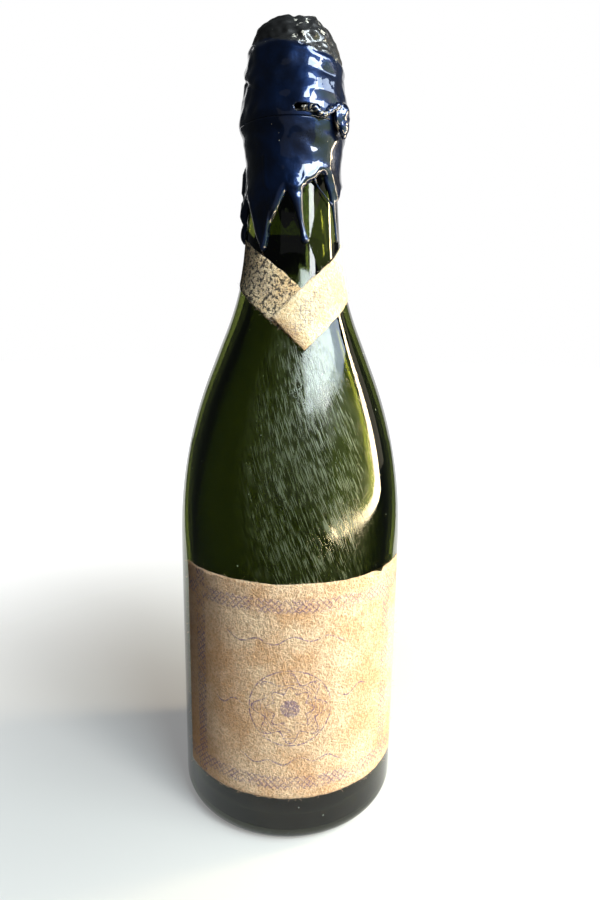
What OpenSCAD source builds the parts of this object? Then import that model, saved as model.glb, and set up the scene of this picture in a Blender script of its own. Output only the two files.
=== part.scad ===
// Wax-sealed champagne bottle: glass, wine, cork, wire cage, sealing wax and paper labels.
// Millimetres. The bottle stands on z = 0 with its axis on Z. The label faces -Y, and an
// azimuth is measured from -Y towards +X.

/* [Glass body] */
// Outside diameter of the body
body_d = 88; // [84:1:96]
// Rounding between the side and the standing ring
heel_r = 6.5; // [5:0.5:8]
// Height at which the straight side ends
side_h = 110; // [100:1:120]
// Radius of the convex shoulder
shoulder_arc = 174; // [165:1:185]
// Steepest slope of the flank, from the vertical, in degrees
flank_angle = 22; // [21:0.2:23]
// Radius of the concave sweep into the neck
neck_arc = 104; // [90:1:115]
// Wall thickness of the body
wall = 4.4; // [3.5:0.1:5.5]

/* [Punt and floor] */
// Diameter of the punt at its mouth
punt_d = 56; // [48:1:58]
// Depth of the punt
punt_h = 26; // [18:1:27]
// Thickness of the glass over the punt
floor_t = 6.5; // [5:0.5:8]
// Rounding of the ring-shaped trough inside the base
trough_r = 4; // [3:0.5:4.5]
// Thickness of the glass under the trough
ring_t = 9.5; // [9:0.5:12]

/* [Neck and mouth] */
// Outside diameter of the neck just under the collar
neck_d = 28.4; // [27.6:0.1:28.8]
// Taper of the upper neck, in degrees
neck_taper = 4.5; // [3.5:0.1:5]
// Height of the straight upper neck
upper_neck_l = 44; // [40:1:48]
// Diameter of the collar that the wire cage grips
collar_d = 32; // [31:0.2:33]
// Height of the collar
collar_h = 4.6; // [4:0.2:5.6]
// Height of the waist between collar and lip bead
waist_h = 1.4; // [1:0.2:2]
// Diameter of the lip bead
bead_d = 28.6; // [27:0.2:29]
// Height of the lip bead
bead_h = 4.8; // [4:0.2:6]
// Diameter of the mouth's bore
bore_d = 18; // [17:0.1:19]
// Length of the cylindrical stretch of the bore
bore_l = 26; // [25:1:30]

/* [Wine] */
// Depth of the wine's surface below the lip
fill_depth = 67; // [60:1:80]

/* [Cork] */
// Length of cork inside the neck
cork_l = 24; // [20:1:25]
// Diameter of the cork's head
cork_head_d = 29; // [28:0.2:29.6]
// Height of the cork's head above the lip
cork_head_h = 16.5; // [15:0.5:18]
// Thickness of each natural cork disc
disc_t = 3; // [2.5:0.5:4]
// Radius of the pointed arch that rounds the head
head_arc = 20.4; // [19:0.2:22]

/* [Wire cage] */
// Wire of the cage's legs and crown
leg_wire = 0.8; // [0.7:0.05:0.9]
// Wire of the belt and its ear
belt_wire = 1.1; // [1:0.05:1.2]
// Diameter of the crown ring, to the wire's middle
crown_d = 19; // [17:0.5:20]
// Thickness of the metal cap plate
plate_t = 0.35; // [0.25:0.05:0.5]
// Diameter of the metal cap plate
plate_d = 25; // [23:0.5:26]
// Azimuth of the ear's root
ear_azimuth = 8; // [0:1:20]
// Azimuth of the middle of the ear's loop
loop_azimuth = 55; // [55:1:90]
// Rise of the loop's middle over the ear's root
ear_rise = -1.5; // [-3:0.1:2]
// How far the ear's tail sinks before it rises to the loop
ear_dip = 2; // [1:0.1:2.5]
// Outside diameter of the ear's loop
loop_d = 8.6; // [7.5:0.1:9]

/* [Sealing wax] */
// Least thickness of the wax over the wires
wax_t = 0.8; // [0.6:0.1:1.4]
// Thickness of the wax on top
wax_top_t = 3.6; // [2:0.2:5]
// How far the belt shows as a ridge in the wax
belt_ridge = 0.4; // [0.2:0.1:0.8]
// Thickness of the wax on the neck
skirt_t = 1.7; // [1.2:0.1:2.4]
// Depth of the skirt's edge below the collar, between the runs
skirt_l = 25; // [20:1:30]
// Thickness of the wax round the ear
ear_wax_t = 0.4; // [0.3:0.1:0.8]

/* [Paper] */
// Thickness of the paper
paper_t = 0.3; // [0.2:0.05:0.4]
// Angle that the front label covers, in degrees
label_angle = 133; // [110:1:170]
// Azimuth of the front label's middle
label_azimuth = 5.5; // [-8:0.5:8]
// Height of the front label's lower edge
label_z = 20.5; // [15:0.5:24]
// Height of the front label
label_h = 85; // [70:1:87]
// Width of the neck band
band_w = 16; // [14:0.5:20]
// Length of the neck band's left tail, from its highest place
band_left_l = 76; // [70:1:80]
// Length of the neck band's right tail, from its highest place
band_right_l = 75; // [70:1:78]
// Depth of the band's upper edge below the collar, where it is highest
band_drop = 37; // [34:1:42]
// Azimuth at which the band is highest
band_azimuth = 188.5; // [175:0.5:195]

/* [Clearances] */
// Cork in the bore
cork_gap = 0.1; // [0.05:0.05:0.2]
// Between pieces that only touch
touch_gap = 0.05; // [0.03:0.01:0.1]
// Between pieces that part when the bottle is opened
open_gap = 0.15; // [0.1:0.05:0.25]
// Crack between the wax hood and the wax skirt
crack = 0.3; // [0.2:0.1:0.5]

/* [Hidden] */
$fn = 128;
arc_steps = 14;

// Runs of wax below the skirt's edge: azimuth, half-width in degrees, length (negative is an arch)
wax_runs = [[-38, 27, 21], [11, 8, 19], [37, 13, -5], [63, 9, 19], [-84, 11, 16],
            [-135, 14, 9], [170, 8, 10], [128, 18, -4], [-160, 9, 8], [148, 9, 8]];
run_power = 2.6;          // how square a run's outline is
skirt_columns = 96;
skirt_rows = 8;

body_r = body_d / 2;
neck_r = neck_d / 2;
bore_r = bore_d / 2;
collar_r = collar_d / 2;
bead_r = bead_d / 2;
bead_round = 1;
collar_round = 1.2;

// The flank's straight stretch takes up what the two arcs and the upper neck leave of the narrowing
shoulder_in = shoulder_arc * (1 - cos(flank_angle));
sweep_in = neck_arc * (cos(neck_taper) - cos(flank_angle));
upper_in = upper_neck_l * tan(neck_taper);
flank_l = (body_r - neck_r - shoulder_in - sweep_in - upper_in) / sin(flank_angle);

// Heights of the joints between the profile's stretches
flank_z0 = side_h + shoulder_arc * sin(flank_angle);
flank_z1 = flank_z0 + flank_l * cos(flank_angle);
upper_z = flank_z1 + neck_arc * (sin(flank_angle) - sin(neck_taper));
collar_z = upper_z + upper_neck_l;
waist_z = collar_z + collar_h;
bead_z = waist_z + waist_h;
lip_z = bead_z + bead_h;
flank_r0 = body_r - shoulder_in;
flank_r1 = flank_r0 - flank_l * sin(flank_angle);
upper_r = neck_r + upper_in;

// Outside radius of the glass at a height between the straight side and the collar
function glass_r(z) =
    z <= side_h ? body_r :
    z <= flank_z0 ? body_r - shoulder_arc + sqrt(pow(shoulder_arc, 2) - pow(z - side_h, 2)) :
    z <= flank_z1 ? flank_r0 - (z - flank_z0) * tan(flank_angle) :
    z <= upper_z ? sweep_r(z) :
    upper_r - (z - upper_z) * tan(neck_taper);
// The concave sweep's centre lies outside the glass, level with the end of the flank's normal
sweep_cz = flank_z1 + neck_arc * sin(flank_angle);
sweep_cr = flank_r1 + neck_arc * cos(flank_angle);
function sweep_r(z) = sweep_cr - sqrt(pow(neck_arc, 2) - pow(sweep_cz - z, 2));

// Inside radius: the wall thickens evenly from the body to the neck
neck_wall = neck_r - bore_r;
function inside_r(z) =
    glass_r(z) - wall - (neck_wall - wall) * (body_r - glass_r(z)) / (body_r - neck_r);

// Points [radius, height] along an arc, from one angle to another
function arc(c, r, a0, a1, steps = arc_steps) =
    [for (i = [0 : steps]) let (a = a0 + (a1 - a0) * i / steps) [c[0] + r * cos(a), c[1] + r * sin(a)]];
// Points along a profile function, between two heights
function trace(z0, z1, steps, inside = false) =
    [for (i = [0 : steps]) let (z = z0 + (z1 - z0) * i / steps) [inside ? inside_r(z) : glass_r(z), z]];
function reversed(list) = [for (i = [len(list) - 1 : -1 : 0]) list[i]];

// Punt: a spherical cap that blends into the standing ring
punt_r = punt_d / 2;
punt_sphere = (pow(punt_r, 2) + pow(punt_h, 2)) / (2 * punt_h);
punt_cz = punt_h - punt_sphere;
punt_lip = 3.5;           // rounding between the punt and the standing ring
punt_lip_r = sqrt(pow(punt_sphere + punt_lip, 2) - pow(punt_lip - punt_cz, 2));
punt_lip_a = atan2(punt_lip - punt_cz, punt_lip_r);
punt_points = concat(
    arc([0, punt_cz], punt_sphere, 90, punt_lip_a),
    arc([punt_lip_r, punt_lip], punt_lip, 180 + punt_lip_a, 270, 6));

// Inside floor: a larger cap over the punt, and a rounded trough round its foot. A straight
// stretch touches both, so the trough keeps its own height over the standing ring.
inner_r = body_r - wall;
floor_sphere = punt_sphere + floor_t;
trough_cr = inner_r - trough_r;
floor_reach = floor_sphere + trough_r;
trough_cz = max(ring_t + trough_r, punt_cz + sqrt(max(0, pow(floor_reach, 2) - pow(trough_cr, 2))));
trough_away = norm([trough_cr, trough_cz - punt_cz]);
trough_a = atan2(trough_cz - punt_cz, trough_cr) + acos(min(1, floor_reach / trough_away));
// The floor's points, a gap off the glass
function floor_points(gap) = concat(
    arc([0, punt_cz], floor_sphere + gap, 90, trough_a),
    arc([trough_cr, trough_cz], trough_r - gap, 180 + trough_a, 360, 8));

bore_z = lip_z - bore_l;
mouth_round = 1;

// Cork: the head is a pointed arch, whose centre lies across the axis
cork_r = bore_r - cork_gap;
cork_z = lip_z - cork_l;
head_z = lip_z + open_gap;
head_top = lip_z + cork_head_h;
head_edge = 1.7;          // height of the head's rounded lower edge
head_wide_z = lip_z + head_edge;
head_cr = cork_head_d / 2 - head_arc;
function arch_r(z, more = 0) = head_cr + sqrt(pow(head_arc + more, 2) - pow(z - head_wide_z, 2));
function arch_z(r, more = 0) = head_wide_z + sqrt(pow(head_arc + more, 2) - pow(r - head_cr, 2));
function arch(z0, z1, more = 0, steps = 12) =
    [for (i = [0 : steps]) let (z = z0 + (z1 - z0) * i / steps) [arch_r(z, more), z]];

// Cap plate, and the cage's legs and belt
plate_r = plate_d / 2;
plate_z = head_top + open_gap;
leg_half = leg_wire;                             // half the width of a twisted pair
leg_more = open_gap + plate_t + touch_gap + leg_half;  // the leg's middle above the cork's arch
leg_low_r = collar_r + open_gap + leg_half;
crown_r = crown_d / 2;
crown_more = plate_t + touch_gap + leg_wire / 2;
crown_z = min(plate_z + crown_more, arch_z(crown_r, open_gap + crown_more));
leg_top_z = arch_z(crown_r, leg_more) + leg_half;
// The eyelet of a leg's foot goes round the belt's wire and stays under the collar
eyelet_wire = leg_wire * 0.9;
eyelet_r = belt_wire / 2 + touch_gap + eyelet_wire / 2;
belt_z = collar_z - eyelet_r - eyelet_wire / 2 - open_gap;
belt_r = glass_r(belt_z) + open_gap + eyelet_wire + touch_gap + belt_wire / 2;

// Wax hood: it lifts off upwards, so inside it never narrows below what it has to pass
hood_r = leg_low_r + leg_half + open_gap + wax_t;
ridge_r = hood_r + belt_ridge;
hood_drop = 2.4;                                 // the hood's edge, below the belt
hood_z = belt_z - hood_drop;
skirt_z = hood_z - crack;
hood_in_more = leg_more + leg_half + open_gap;
hood_out_more = hood_in_more + wax_t;
hood_in_top = max(plate_z + plate_t, leg_top_z) + open_gap;
hood_top = hood_in_top + wax_top_t;
throat_r = cork_head_d / 2 + open_gap;

module glass_bottle() {
    outside = concat(
        punt_points,
        arc([body_r - heel_r, heel_r], heel_r, 270, 360, 8),
        trace(side_h, flank_z0, 16),
        trace(flank_z1, upper_z, 14),
        [[neck_r, collar_z]],
        arc([collar_r - collar_round, collar_z + collar_round], collar_round, 270, 360, 4),
        arc([collar_r - collar_round, waist_z - collar_round], collar_round, 0, 90, 4),
        [[bead_r - 0.5, waist_z], [bead_r - 0.5, bead_z]],
        arc([bead_r - bead_round, bead_z + bead_round], bead_round, 270, 360, 4),
        arc([bead_r - bead_round, lip_z - bead_round], bead_round, 0, 90, 4));
    inside = concat(
        arc([bore_r + mouth_round, lip_z - mouth_round], mouth_round, 90, 180, 4),
        [[bore_r, bore_z]],
        reversed(trace(flank_z1, upper_z, 12, true)),
        reversed(trace(side_h, flank_z0, 16, true)),
        reversed(floor_points(0)));
    color([0.10, 0.17, 0.06]) rotate_extrude() polygon(concat(outside, inside));
}

// The wine fills the inside up to its surface, where the neck is already narrowing
wine_z = lip_z - fill_depth;
module wine() {
    side = concat(trace(side_h, flank_z0, 16, true), trace(flank_z1, wine_z, 10, true));
    color([0.85, 0.78, 0.45]) rotate_extrude()
        polygon(concat(floor_points(touch_gap), [for (p = side) [p[0] - touch_gap, p[1]]],
                       [[0, wine_z]]));
}

module front_label() {
    start = -90 + label_azimuth - label_angle / 2;
    color([0.86, 0.74, 0.55])
        rotate([0, 0, start])
            rotate_extrude(angle = label_angle)
                translate([body_r + touch_gap, label_z])
                    square([paper_t, label_h]);
}

// The neck band is a straight strip of paper wound round the cone of the neck. On the cone's flat
// development it runs straight, nearest the apex where it is highest, and its tails cross in front.
cone_angle = 13.5;
band_back_z = collar_z - band_drop - band_w / 2;
band_back_r = glass_r(band_back_z);
cone_apex = band_back_r / sin(cone_angle);       // slant distance from the apex to the strip's middle
apex_z = band_back_z + cone_apex * cos(cone_angle);
band_steps = 72;
band_cells = 7;
tail_lift = paper_t + 0.15;                      // the right tail lies over the left one

// A point of the strip, s along it from its highest place, w across it, and h above its underside
function band_point(s, w, h) =
    let (rho = norm([cone_apex + w, s]),
         turn = band_azimuth + atan2(s, cone_apex + w) / sin(cone_angle),
         z = apex_z - rho * cos(cone_angle),
         lift = tail_lift * ramp(s, band_right_l * 0.45, band_right_l * 0.62),
         r = glass_r(z) + touch_gap + lift + h)
    [r * sin(turn), -r * cos(turn), z];
// A smooth step from 0 to 1
function ramp(x, x0, x1) = let (t = max(0, min(1, (x - x0) / (x1 - x0)))) t * t * (3 - 2 * t);

module neck_band() {
    section = concat(
        [for (i = [0 : band_cells]) [band_w * (i / band_cells - 0.5), 0]],
        [for (i = [band_cells : -1 : 0]) [band_w * (i / band_cells - 0.5), paper_t]]);
    rings = [for (k = [0 : band_steps])
        let (s = (band_left_l + band_right_l) * k / band_steps - band_left_l)
        [for (q = section) band_point(s, q[0], q[1])]];
    color([0.88, 0.78, 0.60]) skin(rings);
}

// A closed solid through rings of points. The rings run along the solid; a loop joins last to first.
module skin(rings, loop = false) {
    n = len(rings[0]);
    m = len(rings);
    last = loop ? m - 1 : m - 2;
    sides = [for (k = [0 : last]) each [for (i = [0 : n - 1])
        let (a = k * n + i, b = k * n + (i + 1) % n,
             c = ((k + 1) % m) * n + (i + 1) % n, d = ((k + 1) % m) * n + i)
        each [[a, b, c], [a, c, d]]]];
    // An open strip's two ends are closed by pairing its lower and upper edges
    ends = loop ? [] : concat(cap_faces(0, n, false), cap_faces((m - 1) * n, n, true));
    polyhedron([for (r = rings) each r], concat(sides, ends), convexity = 8);
}
function cap_faces(first, n, flip) =
    [for (i = [0 : n / 2 - 2])
        let (a = first + i, b = first + i + 1, c = first + n - 2 - i, d = first + n - 1 - i)
        each (flip ? [[a, b, c], [a, c, d]] : [[a, c, b], [a, d, c]])];

// Wax skirt on the neck: a sleeve whose lower edge follows the runs
skirt_edge_z = collar_z - skirt_l;
function angle_between(a, b) = abs(((a - b + 540) % 360) - 180);
function run_length(az) =
    let (shares = [for (w = wax_runs) w[2] * exp(-pow(angle_between(az, w[0]) / w[1], run_power))])
    let (down = max([0, each shares]), up = min([0, each shares]))
    down + up;
// Thickness of the wax at a share t of the way from the skirt's top to its edge
function skirt_wall(t) =
    (skirt_t + (hood_r - glass_r(skirt_z) - skirt_t) * (1 - ramp(t, 0, 0.42)))
    * sqrt(1 - pow(t, 9)) + 0.12 * t;
module wax_skirt() {
    rings = [for (j = [0 : skirt_columns - 1])
        let (az = 360 * j / skirt_columns, edge = skirt_edge_z - run_length(az))
        concat(
            [for (k = [skirt_rows : -1 : 0]) skirt_point(az, k / skirt_rows, edge, 1)],
            [for (k = [0 : skirt_rows]) skirt_point(az, k / skirt_rows, edge, 0)])];
    color([0.03, 0.07, 0.16]) skin(rings, true);
}
function skirt_point(az, t, edge, side) =
    let (z = skirt_z + (edge - skirt_z) * t,
         r = glass_r(z) + touch_gap + side * skirt_wall(t))
    [r * sin(az), -r * cos(az), z];

// Cork: an agglomerate body with two natural discs on its foot
module cork_body() {
    profile = concat(
        [[0, cork_z + 2 * disc_t], [cork_r, cork_z + 2 * disc_t], [cork_r, head_z],
         [cork_head_d / 2 - head_edge + open_gap, head_z]],
        arch(head_wide_z, head_top),
        [[0, head_top]]);
    color([0.72, 0.55, 0.36]) rotate_extrude() polygon(profile);
}
// A disc of natural cork, with a chamfer on the lowest one's foot
module cork_disc(z, chamfer) {
    color([0.78, 0.60, 0.40]) rotate_extrude() polygon([
        [0, z], [cork_r - chamfer, z], [cork_r, z + chamfer], [cork_r, z + disc_t], [0, z + disc_t]]);
}
module cork_disc_upper() cork_disc(cork_z + disc_t, 0);
module cork_disc_lower() cork_disc(cork_z, 0.6);

// Metal cap plate, domed over the cork's head
module cap_plate() {
    under = [for (i = [0 : 12]) let (r = plate_r * (1 - i / 12)) [r, min(plate_z, arch_z(r, open_gap))]];
    over = [for (p = reversed(under)) [p[0], p[1] + plate_t]];
    color([0.55, 0.52, 0.45]) rotate_extrude() polygon(concat(under, over));
}

// Wire cage: a crown ring on the plate, and four twisted legs down to the belt under the collar
leg_count = 4;
leg_turns = 7;
leg_sides = 12;
leg_steps = 40;
leg_azimuths = [for (k = [0 : leg_count - 1]) 45 + 360 * k / leg_count];
leg_path = concat(
    arch_path(crown_r, leg_more),
    [for (i = [1 : 4]) let (t = i / 4) [arch_r(head_wide_z, leg_more) * (1 - t) + leg_low_r * t,
                                        head_wide_z - t * (head_wide_z - waist_z)]],
    [[leg_low_r, collar_z]]);
// Points down the arch, evenly in angle, from a radius to the widest height
function arch_path(r0, more, steps = 12) =
    let (a0 = asin(min(1, (arch_z(r0, more) - head_wide_z) / (head_arc + more))))
    [for (i = [0 : steps]) let (a = a0 * (1 - i / steps))
        [head_cr + (head_arc + more) * cos(a), head_wide_z + (head_arc + more) * sin(a)]];

// Outline of two wires side by side, turned by an angle. A share of 0 leaves one round wire.
function pair_outline(wire, share, angle, sides) =
    [for (i = [0 : sides - 1])
        let (a = 360 * i / sides, off = wire * 0.45 * share, w = wire * (0.5 + 0.05 * share),
             rho = off * abs(cos(a)) + sqrt(pow(w, 2) - pow(off * sin(a), 2)))
        [rho * cos(a + angle), rho * sin(a + angle)]];
// A twisted pair swept along a path, down to one wire past pair_end, a share of its length. Each
// ring lies square to the path, with one side along ref.
module twisted_pair(path, wire, turns, ref, sides, pair_end = 2) {
    m = len(path);
    rings = [for (k = [0 : m - 1])
        let (t = unit(path[min(k + 1, m - 1)] - path[max(k - 1, 0)]),
             b = unit(ref - (ref * t) * t),
             n = cross(t, b),
             u = k / (m - 1),
             share = 1 - ramp(u, pair_end - 0.04, pair_end + 0.04))
        [for (q = pair_outline(wire, share, 360 * turns * u, sides)) path[k] + n * q[0] + b * q[1]]];
    skin(rings);
}
function unit(v) = v / norm(v);
// A polyline with evenly spaced points, steps + 1 of them
function path_length(p) = len(p) < 2 ? 0 : [for (i = 1, s = norm(p[1] - p[0]); i < len(p);
    i = i + 1, s = s + (i < len(p) ? norm(p[i] - p[i - 1]) : 0)) s][len(p) - 2];
function along(p, s, i = 1) =
    let (d = norm(p[i] - p[i - 1]))
    s <= d || i == len(p) - 1 ? p[i - 1] + (p[i] - p[i - 1]) * min(1, s / d) : along(p, s - d, i + 1);
function even(p, steps) = let (total = path_length(p)) [for (i = [0 : steps]) along(p, total * i / steps)];

module cage_frame() {
    path = [for (p = even(leg_path, leg_steps)) [p[0], 0, p[1]]];
    color([0.62, 0.60, 0.56]) {
        translate([0, 0, crown_z])
            rotate_extrude() translate([crown_r, 0]) circle(d = leg_wire, $fn = 24);
        for (az = leg_azimuths)
            rotate([0, 0, az - 90]) twisted_pair(path, leg_wire, leg_turns, [0, 1, 0], leg_sides);
    }
}
module cage_belt() {
    color([0.62, 0.60, 0.56]) {
        translate([0, 0, belt_z])
            rotate_extrude() translate([belt_r, 0]) circle(d = belt_wire, $fn = 24);
        for (az = leg_azimuths)
            rotate([0, 0, az - 90]) translate([belt_r, 0, belt_z]) rotate([90, 0, 0])
                rotate_extrude() translate([eyelet_r, 0]) circle(d = eyelet_wire, $fn = 24);
    }
}

// Ear: the belt's two ends twisted together, folded sideways and up round the collar, and closed
// in a loop that hangs from the tail's end
pivot_r = belt_r + belt_wire / 2 + open_gap + belt_wire;
ear_z = belt_z;
loop_r = (loop_d - belt_wire) / 2;
loop_plane = ridge_r + open_gap + belt_wire * 0.6;
loop_z = ear_z + ear_rise;
tail_r = ridge_r + open_gap + belt_wire;
tail_top = loop_z + loop_r;
loop_turn = 295;                                 // the loop stops short of the tail
bar_clear = 16;                                  // bare stretch of the tail, in degrees
ear_steps = 60;
ear_sides = 10;
ear_turns = 8;
function at(r, az, z) = [r * sin(az), -r * cos(az), z];
// Height of the tail at a share t of its way: level through the hood's slot, then down and up
function tail_z(t) =
    ear_z + (tail_top - ear_z) * ramp(t, 0.4, 1) - ear_dip * ramp(t, 0.2, 0.42) * (1 - ramp(t, 0.42, 0.8));
tail_path = [for (i = [0 : 24])
    let (t = i / 24,
         out = pivot_r + (tail_r - pivot_r) * ramp(t, 0, 0.3) + (loop_plane - tail_r) * ramp(t, 0.8, 1))
    at(out, ear_azimuth + (loop_azimuth - ear_azimuth) * t, tail_z(t))];
loop_path = [for (i = [1 : 24])
    let (a = 90 - loop_turn * i / 24)
    at(loop_plane, loop_azimuth, loop_z) + loop_r * [cos(a) * cos(loop_azimuth),
                                                     cos(a) * sin(loop_azimuth), sin(a)]];
module cage_ear() {
    path = concat(tail_path, loop_path);
    color([0.62, 0.60, 0.56])
        twisted_pair(even(path, ear_steps), belt_wire, ear_turns, at(1, loop_azimuth, 0), ear_sides,
                     path_length(tail_path) / path_length(path));
}

// Wax round the ear: a lump that is slim over the tail and swells over the loop
module ear_wax() {
    steps = 36;
    points = 9;
    pad_r = loop_d / 2 + ear_wax_t;
    slim = belt_wire + ear_wax_t;
    start = ear_azimuth + bar_clear;
    pad_angle = atan(pad_r / ridge_r);
    rings = [for (k = [0 : steps])
        let (az = start + (loop_azimuth + pad_angle - start) * k / steps,
             away = ridge_r * sin(min(90, abs(az - loop_azimuth))),
             pad = sqrt(max(0, pow(pad_r, 2) - pow(away, 2))),
             tail = az < loop_azimuth ? slim : 0,
             half = max(tail, pad, 0.3),
             swell = ramp(pad, 0, pad_r),
             mid = tail_z(min(1, (az - ear_azimuth) / (loop_azimuth - ear_azimuth))) * (1 - swell)
                 + loop_z * swell,
             deep = max(1.9 * slim * (1 - swell) * (tail > 0 ? 1 : 0.4), slim * (0.5 + 0.9 * swell)))
        concat([at(ridge_r + open_gap, az, mid - half), at(ridge_r + open_gap, az, mid + half)],
               [for (i = [0 : points]) let (a = 90 - 180 * i / points)
                   at(ridge_r + open_gap + 0.2 + (deep - 0.2) * cos(a), az, mid + half * 0.98 * sin(a))])];
    color([0.03, 0.07, 0.16]) fan_skin(rings);
}
// A closed solid through rings that see their whole outline from their first point's middle
module fan_skin(rings) {
    n = len(rings[0]);
    m = len(rings);
    sides = [for (k = [0 : m - 2]) each [for (i = [0 : n - 1])
        let (a = k * n + i, b = k * n + (i + 1) % n, c = a + n, d = b + n)
        each [[a, d, b], [a, c, d]]]];
    ends = concat([for (i = [1 : n - 2]) [0, i, i + 1]],
                  [for (i = [1 : n - 2]) [(m - 1) * n, (m - 1) * n + i + 1, (m - 1) * n + i]]);
    polyhedron([for (r = rings) each r], concat(sides, ends), convexity = 6);
}

// Wax hood over the cork's head and the cage
top_round = 0.8;
module wax_hood() {
    groove_r = belt_r + eyelet_r + eyelet_wire / 2 + open_gap;
    outside = concat(
        [[hood_r, hood_z], [ridge_r, belt_z - belt_wire], [ridge_r, belt_z + belt_wire],
         [hood_r, collar_z + collar_round], [hood_r, waist_z]],
        arch(head_wide_z + head_edge, hood_top - top_round, hood_out_more),
        [[arch_r(hood_top - top_round, hood_out_more) - top_round, hood_top], [0, hood_top]]);
    inside = concat(
        [[0, hood_in_top]],
        reversed(arch(head_wide_z, hood_in_top, hood_in_more)),
        [[throat_r, head_wide_z], [throat_r, waist_z + open_gap],
         [collar_r + open_gap, waist_z + open_gap], [collar_r + open_gap, collar_z],
         [groove_r, collar_z], [groove_r, hood_z]]);
    color([0.03, 0.07, 0.16]) difference() {
        rotate_extrude() polygon(concat(outside, inside));
        for (az = leg_azimuths) rotate([0, 0, az - 90]) leg_slot();
        rotate([0, 0, ear_azimuth - 90]) ear_slot();
    }
}
// A leg's slot through the throat follows the leg's lean towards the cork's head
module leg_slot() {
    w = 2 * (leg_half + open_gap);
    low = leg_low_r + leg_half + open_gap;
    high = arch_r(head_wide_z, hood_in_more);
    foot = collar_z - open_gap;
    rotate([90, 0, 0]) translate([0, 0, -w / 2]) linear_extrude(w)
        polygon([[throat_r - 1, foot], [low, foot], [low, waist_z], [high, head_wide_z + open_gap],
                 [throat_r - 1, head_wide_z + open_gap]]);
}
// The ear's root swings out through this slot
module ear_slot() {
    h = 2 * belt_wire + 2 * open_gap;
    back = belt_wire + 5 * open_gap;
    reach = ridge_r * sin(bar_clear) + belt_wire + open_gap;
    translate([pivot_r - belt_wire - open_gap, -back, ear_z - h / 2])
        cube([4 * belt_wire, back + reach, h]);
}

glass_bottle();
wine();
front_label();
neck_band();
wax_skirt();
cork_body();
cork_disc_upper();
cork_disc_lower();
cap_plate();
cage_frame();
cage_belt();
wax_hood();
cage_ear();
ear_wax();
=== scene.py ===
"""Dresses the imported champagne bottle: glass, wine, paper, sealing wax, cork and wire cage.

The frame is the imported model's: +Z runs up the bottle's axis and -Y points at the front label. An
azimuth is measured from -Y towards +X, in degrees. Shapes are worked out in millimetres, as in the
part's source, and become metres when their mesh is made.
"""

import logging
import math
from collections.abc import Callable, Sequence
from dataclasses import dataclass
from enum import Enum

import bmesh
import bpy
import numpy as np
from bpy.types import Material, NodeSocket, NodeTree, Object
from mathutils import Matrix, Vector


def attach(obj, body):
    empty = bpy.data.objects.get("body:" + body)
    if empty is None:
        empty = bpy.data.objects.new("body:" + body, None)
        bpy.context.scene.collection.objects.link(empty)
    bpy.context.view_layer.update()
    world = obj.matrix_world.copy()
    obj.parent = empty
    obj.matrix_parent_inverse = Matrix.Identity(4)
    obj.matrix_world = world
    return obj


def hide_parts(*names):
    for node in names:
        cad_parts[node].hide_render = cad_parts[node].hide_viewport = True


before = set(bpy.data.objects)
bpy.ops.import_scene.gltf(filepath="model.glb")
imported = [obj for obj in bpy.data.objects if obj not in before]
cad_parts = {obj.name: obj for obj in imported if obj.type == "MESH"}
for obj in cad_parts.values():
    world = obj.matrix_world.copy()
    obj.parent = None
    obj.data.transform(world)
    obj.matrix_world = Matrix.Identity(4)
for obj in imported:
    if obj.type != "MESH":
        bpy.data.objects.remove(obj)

log = logging.getLogger("champagne_bottle")
MM = 0.001
WELD, FINE_WELD = 0.001, 0.0001     # how near points are to be joined, in millimetres
Colour = tuple[float, float, float, float]
Numbers = float | np.ndarray
Paint = str | NodeSocket            # a hex colour, or a socket that gives one
Mesh = tuple[np.ndarray, list]      # points in millimetres, and the point numbers of each face


# Shared helpers

def linear(hex_colour: str) -> Colour:
    """Turns an sRGB hex colour, such as "#a8825a", into the linear one that shaders take."""
    parts = [int(hex_colour[i:i + 2], 16) / 255 for i in (1, 3, 5)]
    return (*[c / 12.92 if c <= 0.04045 else ((c + 0.055) / 1.055) ** 2.4 for c in parts], 1.0)


def smooth(x: Numbers, low: float, high: float) -> np.ndarray:
    """Steps smoothly from 0, where x is low, to 1, where x is high."""
    t = np.clip((np.asarray(x, float) - low) / (high - low), 0, 1)
    return t * t * (3 - 2 * t)


def hump(x: Numbers, middle: Numbers, half_width: float) -> np.ndarray:
    """Rises smoothly to 1 at the middle; it is about a third at the half-width from it."""
    return np.exp(-((np.asarray(x, float) - middle) / half_width) ** 2)


def turn(azimuth: Numbers, start: float) -> np.ndarray:
    """Measures azimuths from a start, as differences from -180 to 180 degrees."""
    return (np.asarray(azimuth, float) - start + 540) % 360 - 180


def around(radius: Numbers, azimuth: Numbers, z: Numbers) -> np.ndarray:
    """Places points round the bottle's axis, with x, y and z in the last dimension."""
    angle = np.radians(azimuth)
    return np.stack(np.broadcast_arrays(radius * np.sin(angle), -radius * np.cos(angle), z), -1)


def arc(centre: tuple[float, float], radius: float, start: float, end: float,
        steps: int = 12) -> np.ndarray:
    """Samples an arc in the profile plane, from a start to an end angle in degrees."""
    angle = np.radians(np.linspace(start, end, steps + 1))
    return np.stack([centre[0] + radius * np.cos(angle), centre[1] + radius * np.sin(angle)], 1)


def even_path(points: Sequence[Sequence[float]], steps: int) -> np.ndarray:
    """Spreads points evenly along a polyline.

    Args:
        points: the polyline's corners.
        steps: how many steps the result has.

    Returns:
        The points, steps + 1 of them.
    """
    corners = np.asarray(points, float)
    length = np.r_[0, np.cumsum(np.linalg.norm(np.diff(corners, axis=0), axis=1))]
    at = np.linspace(0, length[-1], steps + 1)
    return np.stack([np.interp(at, length, corners[:, k]) for k in range(corners.shape[1])], 1)


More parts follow.
